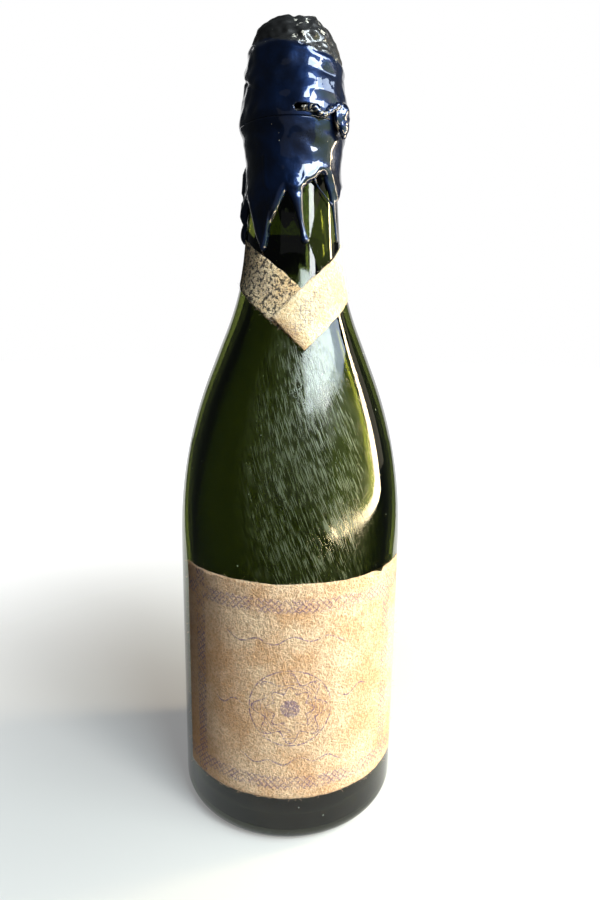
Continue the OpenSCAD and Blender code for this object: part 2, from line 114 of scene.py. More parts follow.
def rounded_path(points: Sequence[Sequence[float]], steps: int) -> np.ndarray:
    """Runs a smooth curve through points, evenly sampled.

    Args:
        points: the points that it passes.
        steps: how many steps the result has.

    Returns:
        The points, steps + 1 of them.
    """
    p = np.asarray(points, float)
    p = np.vstack([2 * p[0] - p[1], p, 2 * p[-1] - p[-2]])
    t = np.linspace(0, 1, 16, endpoint=False)[:, None]
    runs = [0.5 * (2 * b + (c - a) * t + (2 * a - 5 * b + 4 * c - d) * t ** 2
                   + (3 * b - a - 3 * c + d) * t ** 3)
            for a, b, c, d in zip(p, p[1:], p[2:], p[3:])]
    return even_path(np.vstack([*runs, p[-2:-1]]), steps)


class Waves:
    """Smooth seeded noise, a sum of sine waves."""

    EACH = 7           # waves of each length
    CALM = 1.6         # divides the sum, which then mostly lies between -1 and 1

    def __init__(self, seed: int, *lengths: float) -> None:
        """Draws the waves.

        Args:
            seed: the seed of the draw.
            lengths: wavelengths in millimetres. Shorter waves are lower.
        """
        rng = np.random.default_rng(seed)
        self.waves = [(d / np.linalg.norm(d) * 2 * math.pi / length, rng.uniform(0, 2 * math.pi),
                       length / max(lengths))
                      for length in lengths for d in rng.normal(size=(self.EACH, 3))]
        self.spread = math.sqrt(sum(w[2] ** 2 for w in self.waves) / 2)

    def __call__(self, points: np.ndarray) -> np.ndarray:
        """Reads the noise at points in millimetres."""
        total = sum(np.sin(points @ k + phase) * a for k, phase, a in self.waves)
        return total / self.spread / self.CALM


# Meshes

def make_mesh(name: str, vertices: np.ndarray, faces: np.ndarray | list,
              own_map: np.ndarray | None = None, edges: Sequence = ()) -> Object:
    """Makes a smooth-shaded mesh object at the origin.

    Args:
        name: the piece's name.
        vertices: points in millimetres.
        faces: vertex numbers of each face.
        own_map: two coordinates in millimetres for each vertex, for the piece's materials.
        edges: vertex numbers of the edges that belong to no face.

    Returns:
        The new object.
    """
    mesh = bpy.data.meshes.new(name)
    mesh.from_pydata((np.asarray(vertices, float).reshape(-1, 3) * MM).tolist(), edges,
                     [[int(v) for v in f] for f in faces])
    if own_map is not None:
        corners = np.zeros(len(mesh.loops), np.int32)
        mesh.loops.foreach_get("vertex_index", corners)
        layer = mesh.uv_layers.new(name="own_map")
        layer.data.foreach_set("uv", np.asarray(own_map, float).reshape(-1, 2)[corners].ravel())
    mesh.polygons.foreach_set("use_smooth", [True] * len(mesh.polygons))
    obj = bpy.data.objects.new(name, mesh)
    bpy.context.scene.collection.objects.link(obj)
    return obj


def tidy_mesh(obj: Object, weld: float = WELD) -> Object:
    """Joins doubled points of a closed mesh, turns its faces outwards and drops loose points.

    Args:
        obj: the object.
        weld: how near points are to be joined, in millimetres.

    Returns:
        The same object.
    """
    work = bmesh.new()
    work.from_mesh(obj.data)
    bmesh.ops.remove_doubles(work, verts=work.verts, dist=weld * MM)
    bmesh.ops.recalc_face_normals(work, faces=work.faces)
    bmesh.ops.delete(work, geom=[v for v in work.verts if not v.link_faces], context="VERTS")
    work.to_mesh(obj.data)
    work.free()
    return obj


def grid_faces(rows: int, columns: int, closed: bool) -> list[tuple[int, int, int, int]]:
    """Lists the quads between a grid's points, where a closed row is a ring."""
    last = columns if closed else columns - 1
    return [(r * columns + c, r * columns + (c + 1) % columns,
             (r + 1) * columns + (c + 1) % columns, (r + 1) * columns + c)
            for r in range(rows - 1) for c in range(last)]


def lathe(name: str, profile: np.ndarray, segments: int,
          bend: Callable[[np.ndarray], np.ndarray] | None = None) -> Object:
    """Turns a closed profile round the axis.

    Args:
        name: the piece's name.
        profile: rows of distance from the axis and height; the first and last lie on the axis, or
            the profile closes on itself.
        segments: how many steps there are round the axis.
        bend: moves the points before the mesh is made.

    Returns:
        The new object.
    """
    azimuth = np.arange(segments) * 360 / segments
    on_axis = profile[:, 0] < 1e-6
    rings = profile[~on_axis]
    points = around(rings[:, :1], azimuth[None], rings[:, 1:]).reshape(-1, 3)
    if bend:
        points = bend(points)
    faces: list = grid_faces(len(rings), segments, True)
    end = (len(rings) - 1) * segments
    poles = profile[on_axis]
    if len(poles):
        points = np.vstack([points, *[[[0, 0, z]] for _, z in poles]])
        tops = [(0, len(rings) * segments), (end, len(rings) * segments + len(poles) - 1)]
        faces += [(pole, first + c, first + (c + 1) % segments)
                  for first, pole in tops for c in range(segments)]
    else:
        faces += [(end + c, end + (c + 1) % segments, (c + 1) % segments, c)
                  for c in range(segments)]
    return tidy_mesh(make_mesh(name, points, faces))


def sweep(path: np.ndarray, radius: Numbers, sides: int) -> Mesh:
    """Sweeps a circle along a path, closed at both ends.

    Args:
        path: the path's points.
        radius: the circle's radius, or one for each point.
        sides: how many sides the circle has.

    Returns:
        The points and the faces.
    """
    tangent = np.gradient(path, axis=0)
    tangent /= np.linalg.norm(tangent, axis=1)[:, None]
    side = np.cross(tangent[0], [0.3, 0.2, 1.0])
    sides_at = []
    for t in tangent:
        side = side - (side @ t) * t
        side /= np.linalg.norm(side)
        sides_at.append(side)
    first = np.array(sides_at)
    second = np.cross(tangent, first)
    angle = np.arange(sides) * 2 * math.pi / sides
    radius = np.broadcast_to(radius, len(path))[:, None, None]
    points = (path[:, None] + radius * (first[:, None] * np.cos(angle)[None, :, None]
                                        + second[:, None] * np.sin(angle)[None, :, None]))
    last = (len(path) - 1) * sides
    faces = grid_faces(len(path), sides, True)
    faces += [tuple(range(sides))[::-1], tuple(range(last, last + sides))]
    return points.reshape(-1, 3), faces


def join_parts(parts: Sequence[Mesh]) -> Mesh:
    """Puts several sets of points and faces into one.

    Args:
        parts: the sets.

    Returns:
        All points and all faces.
    """
    starts = np.cumsum([0, *[len(p) for p, _ in parts]])
    faces = [tuple(int(v + start) for v in face)
             for (_, some), start in zip(parts, starts) for face in some]
    return np.vstack([p for p, _ in parts]), faces


def settle(obj: Object, body: str, slot: str, material: Material, *nodes: str) -> Object:
    """Finishes a piece: gives it its material and its body, and hides the CAD nodes that it stands
    for.

    Args:
        obj: the piece.
        body: the body that it rides on.
        slot: not used.
        material: its material.
        nodes: the CAD nodes that it replaces.

    Returns:
        The same piece.
    """
    obj.data.materials.clear()
    obj.data.materials.append(material)
    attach(obj, body)
    if nodes:
        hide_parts(*nodes)
    log.info("%s: %d faces on %s", obj.name, len(obj.data.polygons), body)
    return obj


# Node trees

def add_node(tree: NodeTree, kind: str, out: int | str = 0, links: dict | None = None,
             **settings: str | bool) -> NodeSocket:
    """Adds a node with its settings, values and links.

    Args:
        tree: the node tree.
        kind: the node's type.
        out: the output to return.
        links: input name or number to its value, or to the socket that feeds it.
        settings: properties of the node.

    Returns:
        The chosen output.
    """
    node = tree.nodes.new(kind)
    for key, value in settings.items():
        setattr(node, key, value)
    for key, value in (links or {}).items():
        value = value.socket if isinstance(value, Field) else value
        if isinstance(value, NodeSocket):
            tree.links.new(value, node.inputs[key])
        else:
            node.inputs[key].default_value = value
    return node.outputs[out] if len(node.outputs) else node.inputs[0]


class Field:
    """A number that varies over a surface. Arithmetic on it adds nodes to its tree."""

    def __init__(self, tree: NodeTree, socket: NodeSocket) -> None:
        """Wraps the output socket of a number in a tree."""
        self.tree, self.socket = tree, socket

    def do(self, operation: str, *others: "Field | float", clamp: bool = False) -> "Field":
        """Adds a Math node with its further inputs; clamp keeps it between 0 and 1."""
        links = dict(enumerate((self, *others)))
        return Field(self.tree, add_node(self.tree, "ShaderNodeMath", 0, links,
                                         operation=operation, use_clamp=clamp))

    def __add__(self, other: "Field | float") -> "Field":
        """Adds a field or a number."""
        return self.do("ADD", other)

    def __sub__(self, other: "Field | float") -> "Field":
        """Takes a field or a number away."""
        return self.do("SUBTRACT", other)

    def __mul__(self, other: "Field | float") -> "Field":
        """Multiplies by a field or a number."""
        return self.do("MULTIPLY", other)

    def rest(self) -> "Field":
        """Gives what is left of 1."""
        return self * -1.0 + 1.0

    def step(self, low: float, high: float) -> "Field":
        """Steps smoothly between 0 and 1; low may be above high.

        Args:
            low: where the result is 0.
            high: where the result is 1.

        Returns:
            The step.
        """
        flip = low > high
        links = {0: self, 1: min(low, high), 2: max(low, high), 3: float(flip), 4: float(not flip)}
        return Field(self.tree, add_node(self.tree, "ShaderNodeMapRange", 0, links,
                                         interpolation_type="SMOOTHSTEP"))


class Finish:
    """A material under construction: its tree, its shader and the fields that feed it.

    Sizes and spacings of patterns are in millimetres. A pattern's place is a vector in millimetres,
    or the object's own coordinates if it is left out.
    """

    def __init__(self, name: str, **shader: float) -> None:
        """Starts a material with one Principled shader.

        Args:
            name: the real material's name.
            shader: constant values of the shader's sockets, by name, with _ for a space.
        """
        self.material = bpy.data.materials.new(name)
        self.material.use_nodes = True
        self.tree = self.material.node_tree
        self.tree.nodes.clear()
        self.shader = self.tree.nodes.new("ShaderNodeBsdfPrincipled")
        for key, value in shader.items():
            self.shader.inputs[key.replace("_", " ")].default_value = value
        add_node(self.tree, "ShaderNodeOutputMaterial", links={0: self.shader.outputs[0]})
        self.place = add_node(self.tree, "ShaderNodeTexCoord", "Object")

    def feed(self, name: str, value: "Field | NodeSocket") -> None:
        """Links a field or another socket to the shader's socket of that name."""
        socket = value.socket if isinstance(value, Field) else value
        self.tree.links.new(socket, self.shader.inputs[name])

    def axis(self, index: int, place: NodeSocket | None = None) -> Field:
        """Reads one coordinate in millimetres.

        Args:
            index: 0, 1 or 2.
            place: the vector to read; object coordinates if left out.

        Returns:
            The coordinate.
        """
        vector = place or self.place
        part = add_node(self.tree, "ShaderNodeSeparateXYZ", index, {0: vector})
        return Field(self.tree, part) * (1000 if place is None else 1)

    def azimuth(self) -> Field:
        """Reads the azimuth in degrees, from -180 to 180."""
        x, y = self.axis(0), self.axis(1)
        return x.do("ARCTAN2", y * -1.0) * (180 / math.pi)

    def own_map(self) -> NodeSocket:
        """Reads the piece's own map, in millimetres."""
        return add_node(self.tree, "ShaderNodeUVMap", uv_map="own_map")

    def stretched(self, vector: NodeSocket, stretch: tuple[float, float, float],
                  turned: float = 0, shift: float = 0) -> NodeSocket:
        """Turns a vector field by degrees about its third axis, and stretches and shifts it."""
        links = {0: vector, "Location": (shift, shift, 0), "Rotation": (0, 0, math.radians(turned)),
                 "Scale": [1 / s for s in stretch]}
        return add_node(self.tree, "ShaderNodeMapping", links=links, vector_type="TEXTURE")

    def noise(self, size: float, detail: float = 4, roughness: float = 0.55,
              place: NodeSocket | None = None) -> Field:
        """Adds noise from 0 to 1, about 0.5 on average, with patches of a size."""
        links = {"Vector": place or self.place, "Scale": (1000 if place is None else 1) / size,
                 "Detail": detail, "Roughness": roughness}
        return Field(self.tree, add_node(self.tree, "ShaderNodeTexNoise", 0, links))

    def cells(self, size: float, out: str = "Distance", feature: str = "F1",
              place: NodeSocket | None = None) -> Field:
        """Adds cells of a size, and reads one output for the feature that is measured."""
        links = {"Vector": place or self.place, "Scale": (1000 if place is None else 1) / size}
        return Field(self.tree, add_node(self.tree, "ShaderNodeTexVoronoi", out, links,
                                         feature=feature))

    def tones(self, size: float) -> Field:
        """Gives each cell of a size in millimetres its own number, from 0 to 1."""
        colour = self.cells(size, "Color").socket
        return Field(self.tree, add_node(self.tree, "ShaderNodeSeparateColor", 0, {0: colour}))

    def specks(self, size: float, share: float, radius: float) -> Field:
        """Scatters spots at a spacing on a share of its places; radius is a share of it too."""
        chosen = self.tones(size).step(1 - share, 1)
        return (chosen * radius - self.cells(size)).step(0, radius * 0.3)

    def blend(self, share: "Field | float", first: Paint, second: Paint) -> NodeSocket:
        """Mixes two colours, where share is how much of the second there is."""
        first, second = (linear(c) if isinstance(c, str) else c for c in (first, second))
        return add_node(self.tree, "ShaderNodeMix", 2, {0: share, 6: first, 7: second},
                        data_type="RGBA")

    def bump(self, height: Field, depth: float, name: str = "Normal") -> None:
        """Feeds a normal socket with relief whose depth is in millimetres."""
        links = {"Height": height, "Distance": depth * MM}
        self.feed(name, add_node(self.tree, "ShaderNodeBump", links=links))


# Materials

class GreenGlass:
    """Dark green bottle glass with handling scratches on its shoulder and dust on its surface."""

    TINT = "#566126"           # what one wall lets through
    THICK = "#12160a"          # what shows where light runs a long way in the glass
    SCRATCH = "#b9c4b6"
    FOOT = (26, 14)            # heights between which the glass turns thick towards its foot
    WORN = (0.36, 0.09, 0.8)   # how strongly scratches, haze and dust show
    # Layers of scratches: lean from the vertical in degrees, width in mm, shortening, shift
    SCRATCHES = ((20, 0.36, 0.05, 0.0), (24, 0.44, 0.045, 31.0), (16, 0.32, 0.06, 67.0))
    SCRATCHED = (9, 38, 146, 66)   # azimuth, its half-width, height, its half-width
    RADIUS = 44                # of the body, which turns azimuths into lengths

    def make(self) -> Material:
        """Builds the material.

        Returns:
            The new material.
        """
        # A little under real glass's IOR, so that the foot mirrors less of the pale floor
        finish = Finish("green_bottle_glass", IOR=1.43, Transmission_Weight=1.0, Roughness=0.02)
        azimuth, height = finish.azimuth(), finish.axis(2)
        middle, reach, level, rise = self.SCRATCHED
        zone = (((azimuth - middle) * (1 / reach)).do("POWER", 2.0)
                + ((height - level) * (1 / rise)).do("POWER", 2.0)).step(1.25, 0.15)
        flat = add_node(finish.tree, "ShaderNodeCombineXYZ",
                        links={0: azimuth * (self.RADIUS * math.pi / 180), 1: height})
        scratches = None
        for lean, width, shorten, shift in self.SCRATCHES:
            lines = finish.stretched(flat, (1.0, shorten, 1.0), lean, shift)
            gaps = finish.stretched(flat, (1, 0.4, 1), lean, shift + 9)
            layer = (finish.noise(width, 1, 0.5, lines).step(0.56, 0.68)
                     * finish.noise(9, 2, 0.6, gaps).step(0.28, 0.56))
            scratches = layer if scratches is None else scratches.do("MAXIMUM", layer)
        few = finish.noise(3, 3, 0.6).step(0.62, 0.75) * scratches * 0.5
        scratches = scratches * zone + few
        wiped = finish.stretched(flat, (1, 0.25, 1), 21)
        haze = finish.noise(12, 4, 0.6, wiped).step(0.3, 0.75) * zone
        dust = finish.specks(4.5, 0.5, 0.075) + finish.specks(1.7, 0.35, 0.13) * zone
        scratched, hazy, dusty = self.WORN
        worn = (scratches * scratched + haze * hazy + dust * dusty).do("MINIMUM", 0.9)
        grazing = Field(finish.tree, add_node(finish.tree, "ShaderNodeLayerWeight", "Facing"))
        thick = grazing.step(0.5, 0.92).do("MAXIMUM", height.step(*self.FOOT))
        tint = finish.blend(thick, self.TINT, self.THICK)
        finish.feed("Base Color", finish.blend(worn, tint, self.SCRATCH))
        finish.feed("Transmission Weight", worn * -0.8 + 1.0)
        finish.feed("Roughness", haze * 0.2 + scratches * 0.3 + 0.02)
        finish.bump(finish.noise(18, 1) + scratches * 0.3, 0.05)
        return finish.material


class SealingWax:
    """Navy pearl sealing wax: a glossy skin over pigment, dusty, with a rough dull crust on top
    whose pale crumbs on the side that faces the window are partly painted glints.
    """

    DEEP = "#02050f"
    PEARL = "#062552"
    CRUST = "#050404"
    CHALK_AND_GLINT = "#c9c4b8"
    LUMPY = ((-10, 4), (62, 44))   # azimuths between which the crust turns lumpy, on both sides; its pale crumbs there are partly painted glints
    FADE = 0.6                 # half the height over which skin turns to crust

    def make(self, crust_z: float, crust_tilt: float) -> Material:
        """Builds the material.

        Args:
            crust_z: the height over which the wax is a dull crust, in millimetres.
            crust_tilt: how much lower the crust starts for each millimetre towards +X.

        Returns:
            The new material.
        """
        finish = Finish("navy_sealing_wax", IOR=1.45, Coat_IOR=1.5)
        height = finish.axis(2) + finish.axis(0) * crust_tilt + (finish.noise(7, 3) - 0.5) * 4.0
        crust = height.step(crust_z - self.FADE, crust_z + self.FADE)
        clouds = finish.noise(11, 4).step(0.25, 0.8)
        colour = finish.blend(clouds * 0.6 + 0.08, self.DEEP, self.PEARL)
        flecks = finish.specks(2.4, 0.5, 0.085)
        azimuth = finish.azimuth()
        lumpy = azimuth.step(*self.LUMPY[0]) * azimuth.step(*self.LUMPY[1])
        # Pale crumbs on the crust, only on the side that faces the window: partly real crumbs of
        # wax, partly painted glints
        crumbs_and_glints = finish.noise(2.2, 3, 0.6).step(0.6, 0.64) * crust * lumpy
        colour = finish.blend(crust, colour, self.CRUST)
        chalk_and_glints = (flecks * 0.8 + crumbs_and_glints * 0.75).do("MINIMUM", 1.0)
        finish.feed("Base Color", finish.blend(chalk_and_glints, colour, self.CHALK_AND_GLINT))
        finish.feed("Metallic", crust.rest() * chalk_and_glints.rest() * 0.8)
        finish.feed("Roughness", crust * 0.2 + finish.noise(5, 3) * 0.14 + 0.3)
        finish.feed("Coat Weight", (crust - crust * lumpy).rest())
        finish.feed("Coat Roughness", crust * 0.05 + finish.noise(3, 2) * 0.04 + 0.01)
        grit = finish.noise(2.6, 3, 0.6) * crust * (lumpy * 0.85 + 0.15)
        finish.bump(finish.noise(4.5, 3) + grit, 0.22)
        finish.bump(finish.noise(6, 2) + grit * 2.0, 0.2, "Coat Normal")
        return finish.material


@dataclass(frozen=True)
class Print:
    """A generic printed pattern on paper, in millimetres of the paper's own map.

    Attributes:
        frame_u: the middles of the upright bands.
        frame_v: the middles of the level bands.
        band: half the width of a band.
        rosette: the middle and the radius of the round motif, or None.
        flourishes: the middle, height, length and wave of each flourish.
    """

    frame_u: tuple[float, ...]
    frame_v: tuple[float, ...]
    band: float
    rosette: tuple[float, float, float] | None = None
    flourishes: tuple[tuple[float, float, float, float], ...] = ()


@dataclass(frozen=True)
class RagPaper:
    """Handmade rag paper: matted fibres, mottled stains and a faint, worn print.

    Attributes:
        name: the material's name.
        pale: the paper's pale colour.
        dark: the colour of its stains.
        gap: the colour between its fibres.
        ink: the print's colour.
        pattern: the print.
        ink_share: how strong the print is.
        soiled: where along the sheet it starts to be soiled, and where it is fully so.
        browned_and_shaded: where along the sheet it starts to turn darker brown, and where it fully
            is; partly age, partly painted shade on the side away from the light.
    """

    name: str
    pale: str
    dark: str
    gap: str
    ink: str
    pattern: Print
    ink_share: float
    soiled: tuple[float, float] | None = None
    browned_and_shaded: tuple[float, float] | None = None

    # Darker brown for the end of a sheet: partly age, partly painted shade away from the light
    BROWN_AND_SHADE = "#cf8f58"
    SOIL = "#1c140e"
    BURNT = "#8a5a28"          # the soiled tail's end
    BURNT_AT = (-71, -76)
    FLECK = "#3a2a1c"
    LATTICE = 1.7              # spacing of the lattice's lines, in mm
    DOTS = 1.1                 # spacing of its dots
    HATCH = 1.3                # spacing of the rosette's fine rings
    PETALS = 8.0
    FIBRES = ((12, 0.0), (-35, 7.3), (70, 3.1))   # lean in degrees and shift of each layer

    def lattice(self, finish: Finish, place: NodeSocket) -> Field:
        """Draws the fine lattice that fills the bands.

        Args:
            finish: the material.
            place: the paper's own map.

        Returns:
            1 on its lines.
        """
        lines = []
        for lean in (45, -45):
            turned = finish.stretched(place, (1, 1, 1), lean)
            wave = (finish.axis(0, turned) * (2 * math.pi / self.LATTICE)).do("SINE")
            lines.append(wave.step(0.35, 0.95))
        dots = finish.cells(self.DOTS, place=place).step(0.5, 0.2)
        return (lines[0].do("MAXIMUM", lines[1]) * 0.8).do("MAXIMUM", dots * 0.6)

    def draw(self, finish: Finish, place: NodeSocket) -> Field:
        """Draws the whole pattern.

        Args:
            finish: the material.
            place: the paper's own map.

        Returns:
            How much ink there is, from 0 to 1.
        """
        u, v = finish.axis(0, place), finish.axis(1, place)
        pattern, inside = self.pattern, None
        for coordinate, middles in ((u, pattern.frame_u), (v, pattern.frame_v)):
            for middle in middles:
                band = (coordinate - middle).do("ABSOLUTE").step(pattern.band, pattern.band * 0.75)
                inside = band if inside is None else inside.do("MAXIMUM", band)
        ink = self.lattice(finish, place) * inside if inside else u * 0.0
        if pattern.rosette:
            cu, cv, radius = pattern.rosette
            x, y = u - cu, v - cv
            away = (x * x + y * y).do("SQRT")
            angle = y.do("ARCTAN2", x)
            petal = (angle * self.PETALS).do("COSINE") * (radius * 0.14) + radius * 0.8
            core = petal * 0.62
            hatch = ((away * (2 * math.pi / self.HATCH)).do("SINE").step(0.5, 1.0)
                     * (away - core).step(-0.2, 0.2) * (away - petal).step(0.2, -0.2))
            for ring in ((away - petal).do("ABSOLUTE").step(0.45, 0.15),
                         (away - core).do("ABSOLUTE").step(0.4, 0.1),
                         (away - radius).do("ABSOLUTE").step(0.35, 0.1),
                         (away - radius * 0.22).step(0.4, 0.0) * 0.8,
                         hatch * 0.7):
                ink = ink.do("MAXIMUM", ring)
        for cu, cv, length, wave in pattern.flourishes:
            x = u - cu
            curl = ((x * (2 * math.pi / wave)).do("SINE") * 1.1
                    + (x * (2 * math.pi / (wave * 2.7))).do("SINE") * 0.8)
            stroke = (v - cv - curl).do("ABSOLUTE").step(0.42, 0.12)
            ink = ink.do("MAXIMUM", stroke * x.do("ABSOLUTE").step(length / 2, length / 2 - 3))
        return ink

    def make(self) -> Material:
        """Builds the material.

        Returns:
            The new material.
        """
        finish = Finish(self.name, IOR=1.45, Roughness=0.9, Specular_IOR_Level=0.25,
                        Sheen_Weight=0.15, Sheen_Roughness=0.6)
        place = finish.own_map()
        ragged = add_node(finish.tree, "ShaderNodeTexNoise", "Color",
                          {"Vector": place, "Scale": 0.7, "Detail": 2})
        rough_place = add_node(finish.tree, "ShaderNodeVectorMath", operation="ADD",
                               links={0: place, 1: finish.stretched(ragged, (0.4, 0.4, 1.0))})
        fibres = [finish.noise(0.75, 2, 0.6, finish.stretched(place, (1, 0.3, 1), lean, shift))
                  for lean, shift in self.FIBRES]
        matted = fibres[0].do("MAXIMUM", fibres[1]).do("MAXIMUM", fibres[2]).step(0.42, 0.68)
        stains = finish.noise(20, 5, 0.6, place).step(0.38, 0.64)
        mottle = finish.noise(1.1, 4, 0.7, place).step(0.44, 0.58)
        colour = finish.blend(stains * 0.6 + mottle * 0.25, self.pale, self.dark)
        colour = finish.blend(matted.rest() * 0.55, colour, self.gap)
        u = finish.axis(0, place)
        if self.browned_and_shaded:
            # Darker brown towards one end: partly browning by age, partly painted shade on the side
            # away from the window
            colour = finish.blend(u.step(*self.browned_and_shaded) * 0.55, colour, self.BROWN_AND_SHADE)
        worn = (finish.noise(9, 4, 0.65, place).step(0.3, 0.55)
                * finish.noise(0.8, 2, 0.6, place).step(0.36, 0.52))
        ink = self.draw(finish, rough_place) * worn * self.ink_share
        colour = finish.blend(ink, colour, self.ink)
        if self.soiled:
            soil = u.step(*self.soiled)
            colour = finish.blend(soil * 0.4, colour, self.dark)
            patches = (finish.noise(1.5, 3, 0.7, place).step(0.5, 0.55)
                       * finish.noise(7, 3, 0.6, place).step(0.24, 0.42) * soil)
            colour = finish.blend(patches * 0.92, colour, self.SOIL)
            colour = finish.blend(u.step(*self.BURNT_AT) * 0.6, colour, self.BURNT)
        flecks = finish.specks(3.0, 0.15, 0.1)
        finish.feed("Base Color", finish.blend(flecks * 0.6, colour, self.FLECK))
        finish.bump(matted + mottle * 0.5, 0.3)
        return finish.material


class Cork(Enum):
    """The corks: grain size and pore size in mm, and how much the seams between grains show."""

    AGGLOMERATE_CORK = (2.2, 1.3, 0.7)
    NATURAL_CORK = (5.0, 2.6, 0.15)

    def make(self) -> Material:
        """Builds the material: pressed granules, or the pores of a natural disc.

        Returns:
            The new material.
        """
        size, pore, seam = self.value
        finish = Finish(self.name.lower(), IOR=1.45, Roughness=0.82, Specular_IOR_Level=0.3)
        pale, brown, dark = "#c99f6a", "#8f6238", "#4a2c17"
        grain = finish.noise(0.8, 4, 0.65)
        colour = finish.blend(finish.tones(size) * 0.7 + grain * 0.3, pale, brown)
        seams = finish.cells(size, feature="DISTANCE_TO_EDGE").step(0.05, 0.0)
        marks = (seams * seam).do("MAXIMUM", finish.noise(pore, 3, 0.7).step(0.64, 0.7))
        finish.feed("Base Color", finish.blend(marks, colour, dark))
        finish.bump(grain * 0.5 - marks, 0.25)
        return finish.material


class Metal(Enum):
    """The metals of the closure: colour, metallic share, roughness and scratch depth in mm."""

    CAGE_WIRE = ("#98938a", 1.0, 0.42, 0.01)
    CAP_LACQUER = ("#6d6658", 0.6, 0.38, 0.015)

    def make(self) -> Material:
        """Builds the material.

        Returns:
            The new material.
        """
        colour, metallic, roughness, depth = self.value
        tarnished = "#5b5044"
        finish = Finish(self.name.lower(), Metallic=metallic)
        tarnish = finish.noise(3, 4, 0.65).step(0.35, 0.8)
        finish.feed("Base Color", finish.blend(tarnish * 0.55, colour, tarnished))
        finish.feed("Roughness", tarnish * 0.25 + roughness)
        finish.bump(finish.noise(0.3, 3), depth)
        return finish.material


def make_wine() -> Material:
    """Makes sparkling wine: a clear straw-coloured liquid.

    Returns:
        The new material.
    """
    finish = Finish("white_wine", IOR=1.34, Transmission_Weight=1.0, Roughness=0.0)
    straw, gold = "#efe6b4", "#e6d795"
    finish.feed("Base Color", finish.blend(finish.noise(40, 1) * 0.3, straw, gold))
    return finish.material


# Glass and wine

@dataclass
class BottleShape:
    """The glass's profile in millimetres: arcs and straight stretches that meet smoothly."""

    side_r: float = 44.0
    heel_r: float = 6.5
    side_h: float = 110.0
    shoulder_arc: float = 174.0
    flank_angle: float = 22.0
    neck_arc: float = 104.0
    neck_taper: float = 4.5
    upper_neck_l: float = 44.0
    neck_r: float = 14.2
    collar_r: float = 16.0
    collar_h: float = 4.6
    waist_h: float = 1.4
    bead_r: float = 14.3
    bead_h: float = 4.8
    wall: float = 4.4
    bore_r: float = 9.0
    bore_l: float = 26.0
    punt_r: float = 28.0
    punt_h: float = 26.0
    punt_lip: float = 3.5
    floor_t: float = 6.5
    trough_r: float = 4.0
    ring_t: float = 9.5

    def __post_init__(self) -> None:
        """Works out where the stretches meet."""
        flank, taper = math.radians(self.flank_angle), math.radians(self.neck_taper)
        self.upper_r = self.neck_r + self.upper_neck_l * math.tan(taper)
        self.flank_r0 = self.side_r - self.shoulder_arc * (1 - math.cos(flank))
        self.flank_r1 = self.upper_r + self.neck_arc * (math.cos(taper) - math.cos(flank))
        self.flank_z0 = self.side_h + self.shoulder_arc * math.sin(flank)
        self.flank_z1 = self.flank_z0 + (self.flank_r0 - self.flank_r1) / math.tan(flank)
        self.upper_z = self.flank_z1 + self.neck_arc * (math.sin(flank) - math.sin(taper))
        self.collar_z = self.upper_z + self.upper_neck_l
        self.waist_z = self.collar_z + self.collar_h
        self.bead_z = self.waist_z + self.waist_h
        self.lip_z = self.bead_z + self.bead_h
        self.sweep = (self.flank_r1 + self.neck_arc * math.cos(flank),
                      self.flank_z1 + self.neck_arc * math.sin(flank))

    def outer(self, z: Numbers) -> np.ndarray:
        """Finds the glass's outside radius between the heel and the collar.

        Args:
            z: heights.

        Returns:
            The radii.
        """
        z = np.asarray(z, float)
        shoulder = self.side_r - self.shoulder_arc + np.sqrt(
            np.clip(self.shoulder_arc ** 2 - (z - self.side_h) ** 2, 0, None))
        flank = self.flank_r0 - (z - self.flank_z0) * math.tan(math.radians(self.flank_angle))
        sweep = self.sweep[0] - np.sqrt(
            np.clip(self.neck_arc ** 2 - (self.sweep[1] - z) ** 2, 0, None))
        upper = self.upper_r - (z - self.upper_z) * math.tan(math.radians(self.neck_taper))
        return np.select([z <= self.side_h, z <= self.flank_z0, z <= self.flank_z1,
                          z <= self.upper_z], [self.side_r, shoulder, flank, sweep], upper)

    def inner(self, z: Numbers) -> np.ndarray:
        """Finds the inside radius, where the wall thickens evenly towards the neck.

        Args:
            z: heights.

        Returns:
            The radii.
        """
        outer = self.outer(z)
        share = (self.side_r - outer) / (self.side_r - self.neck_r)
        return outer - self.wall - (self.neck_r - self.bore_r - self.wall) * share


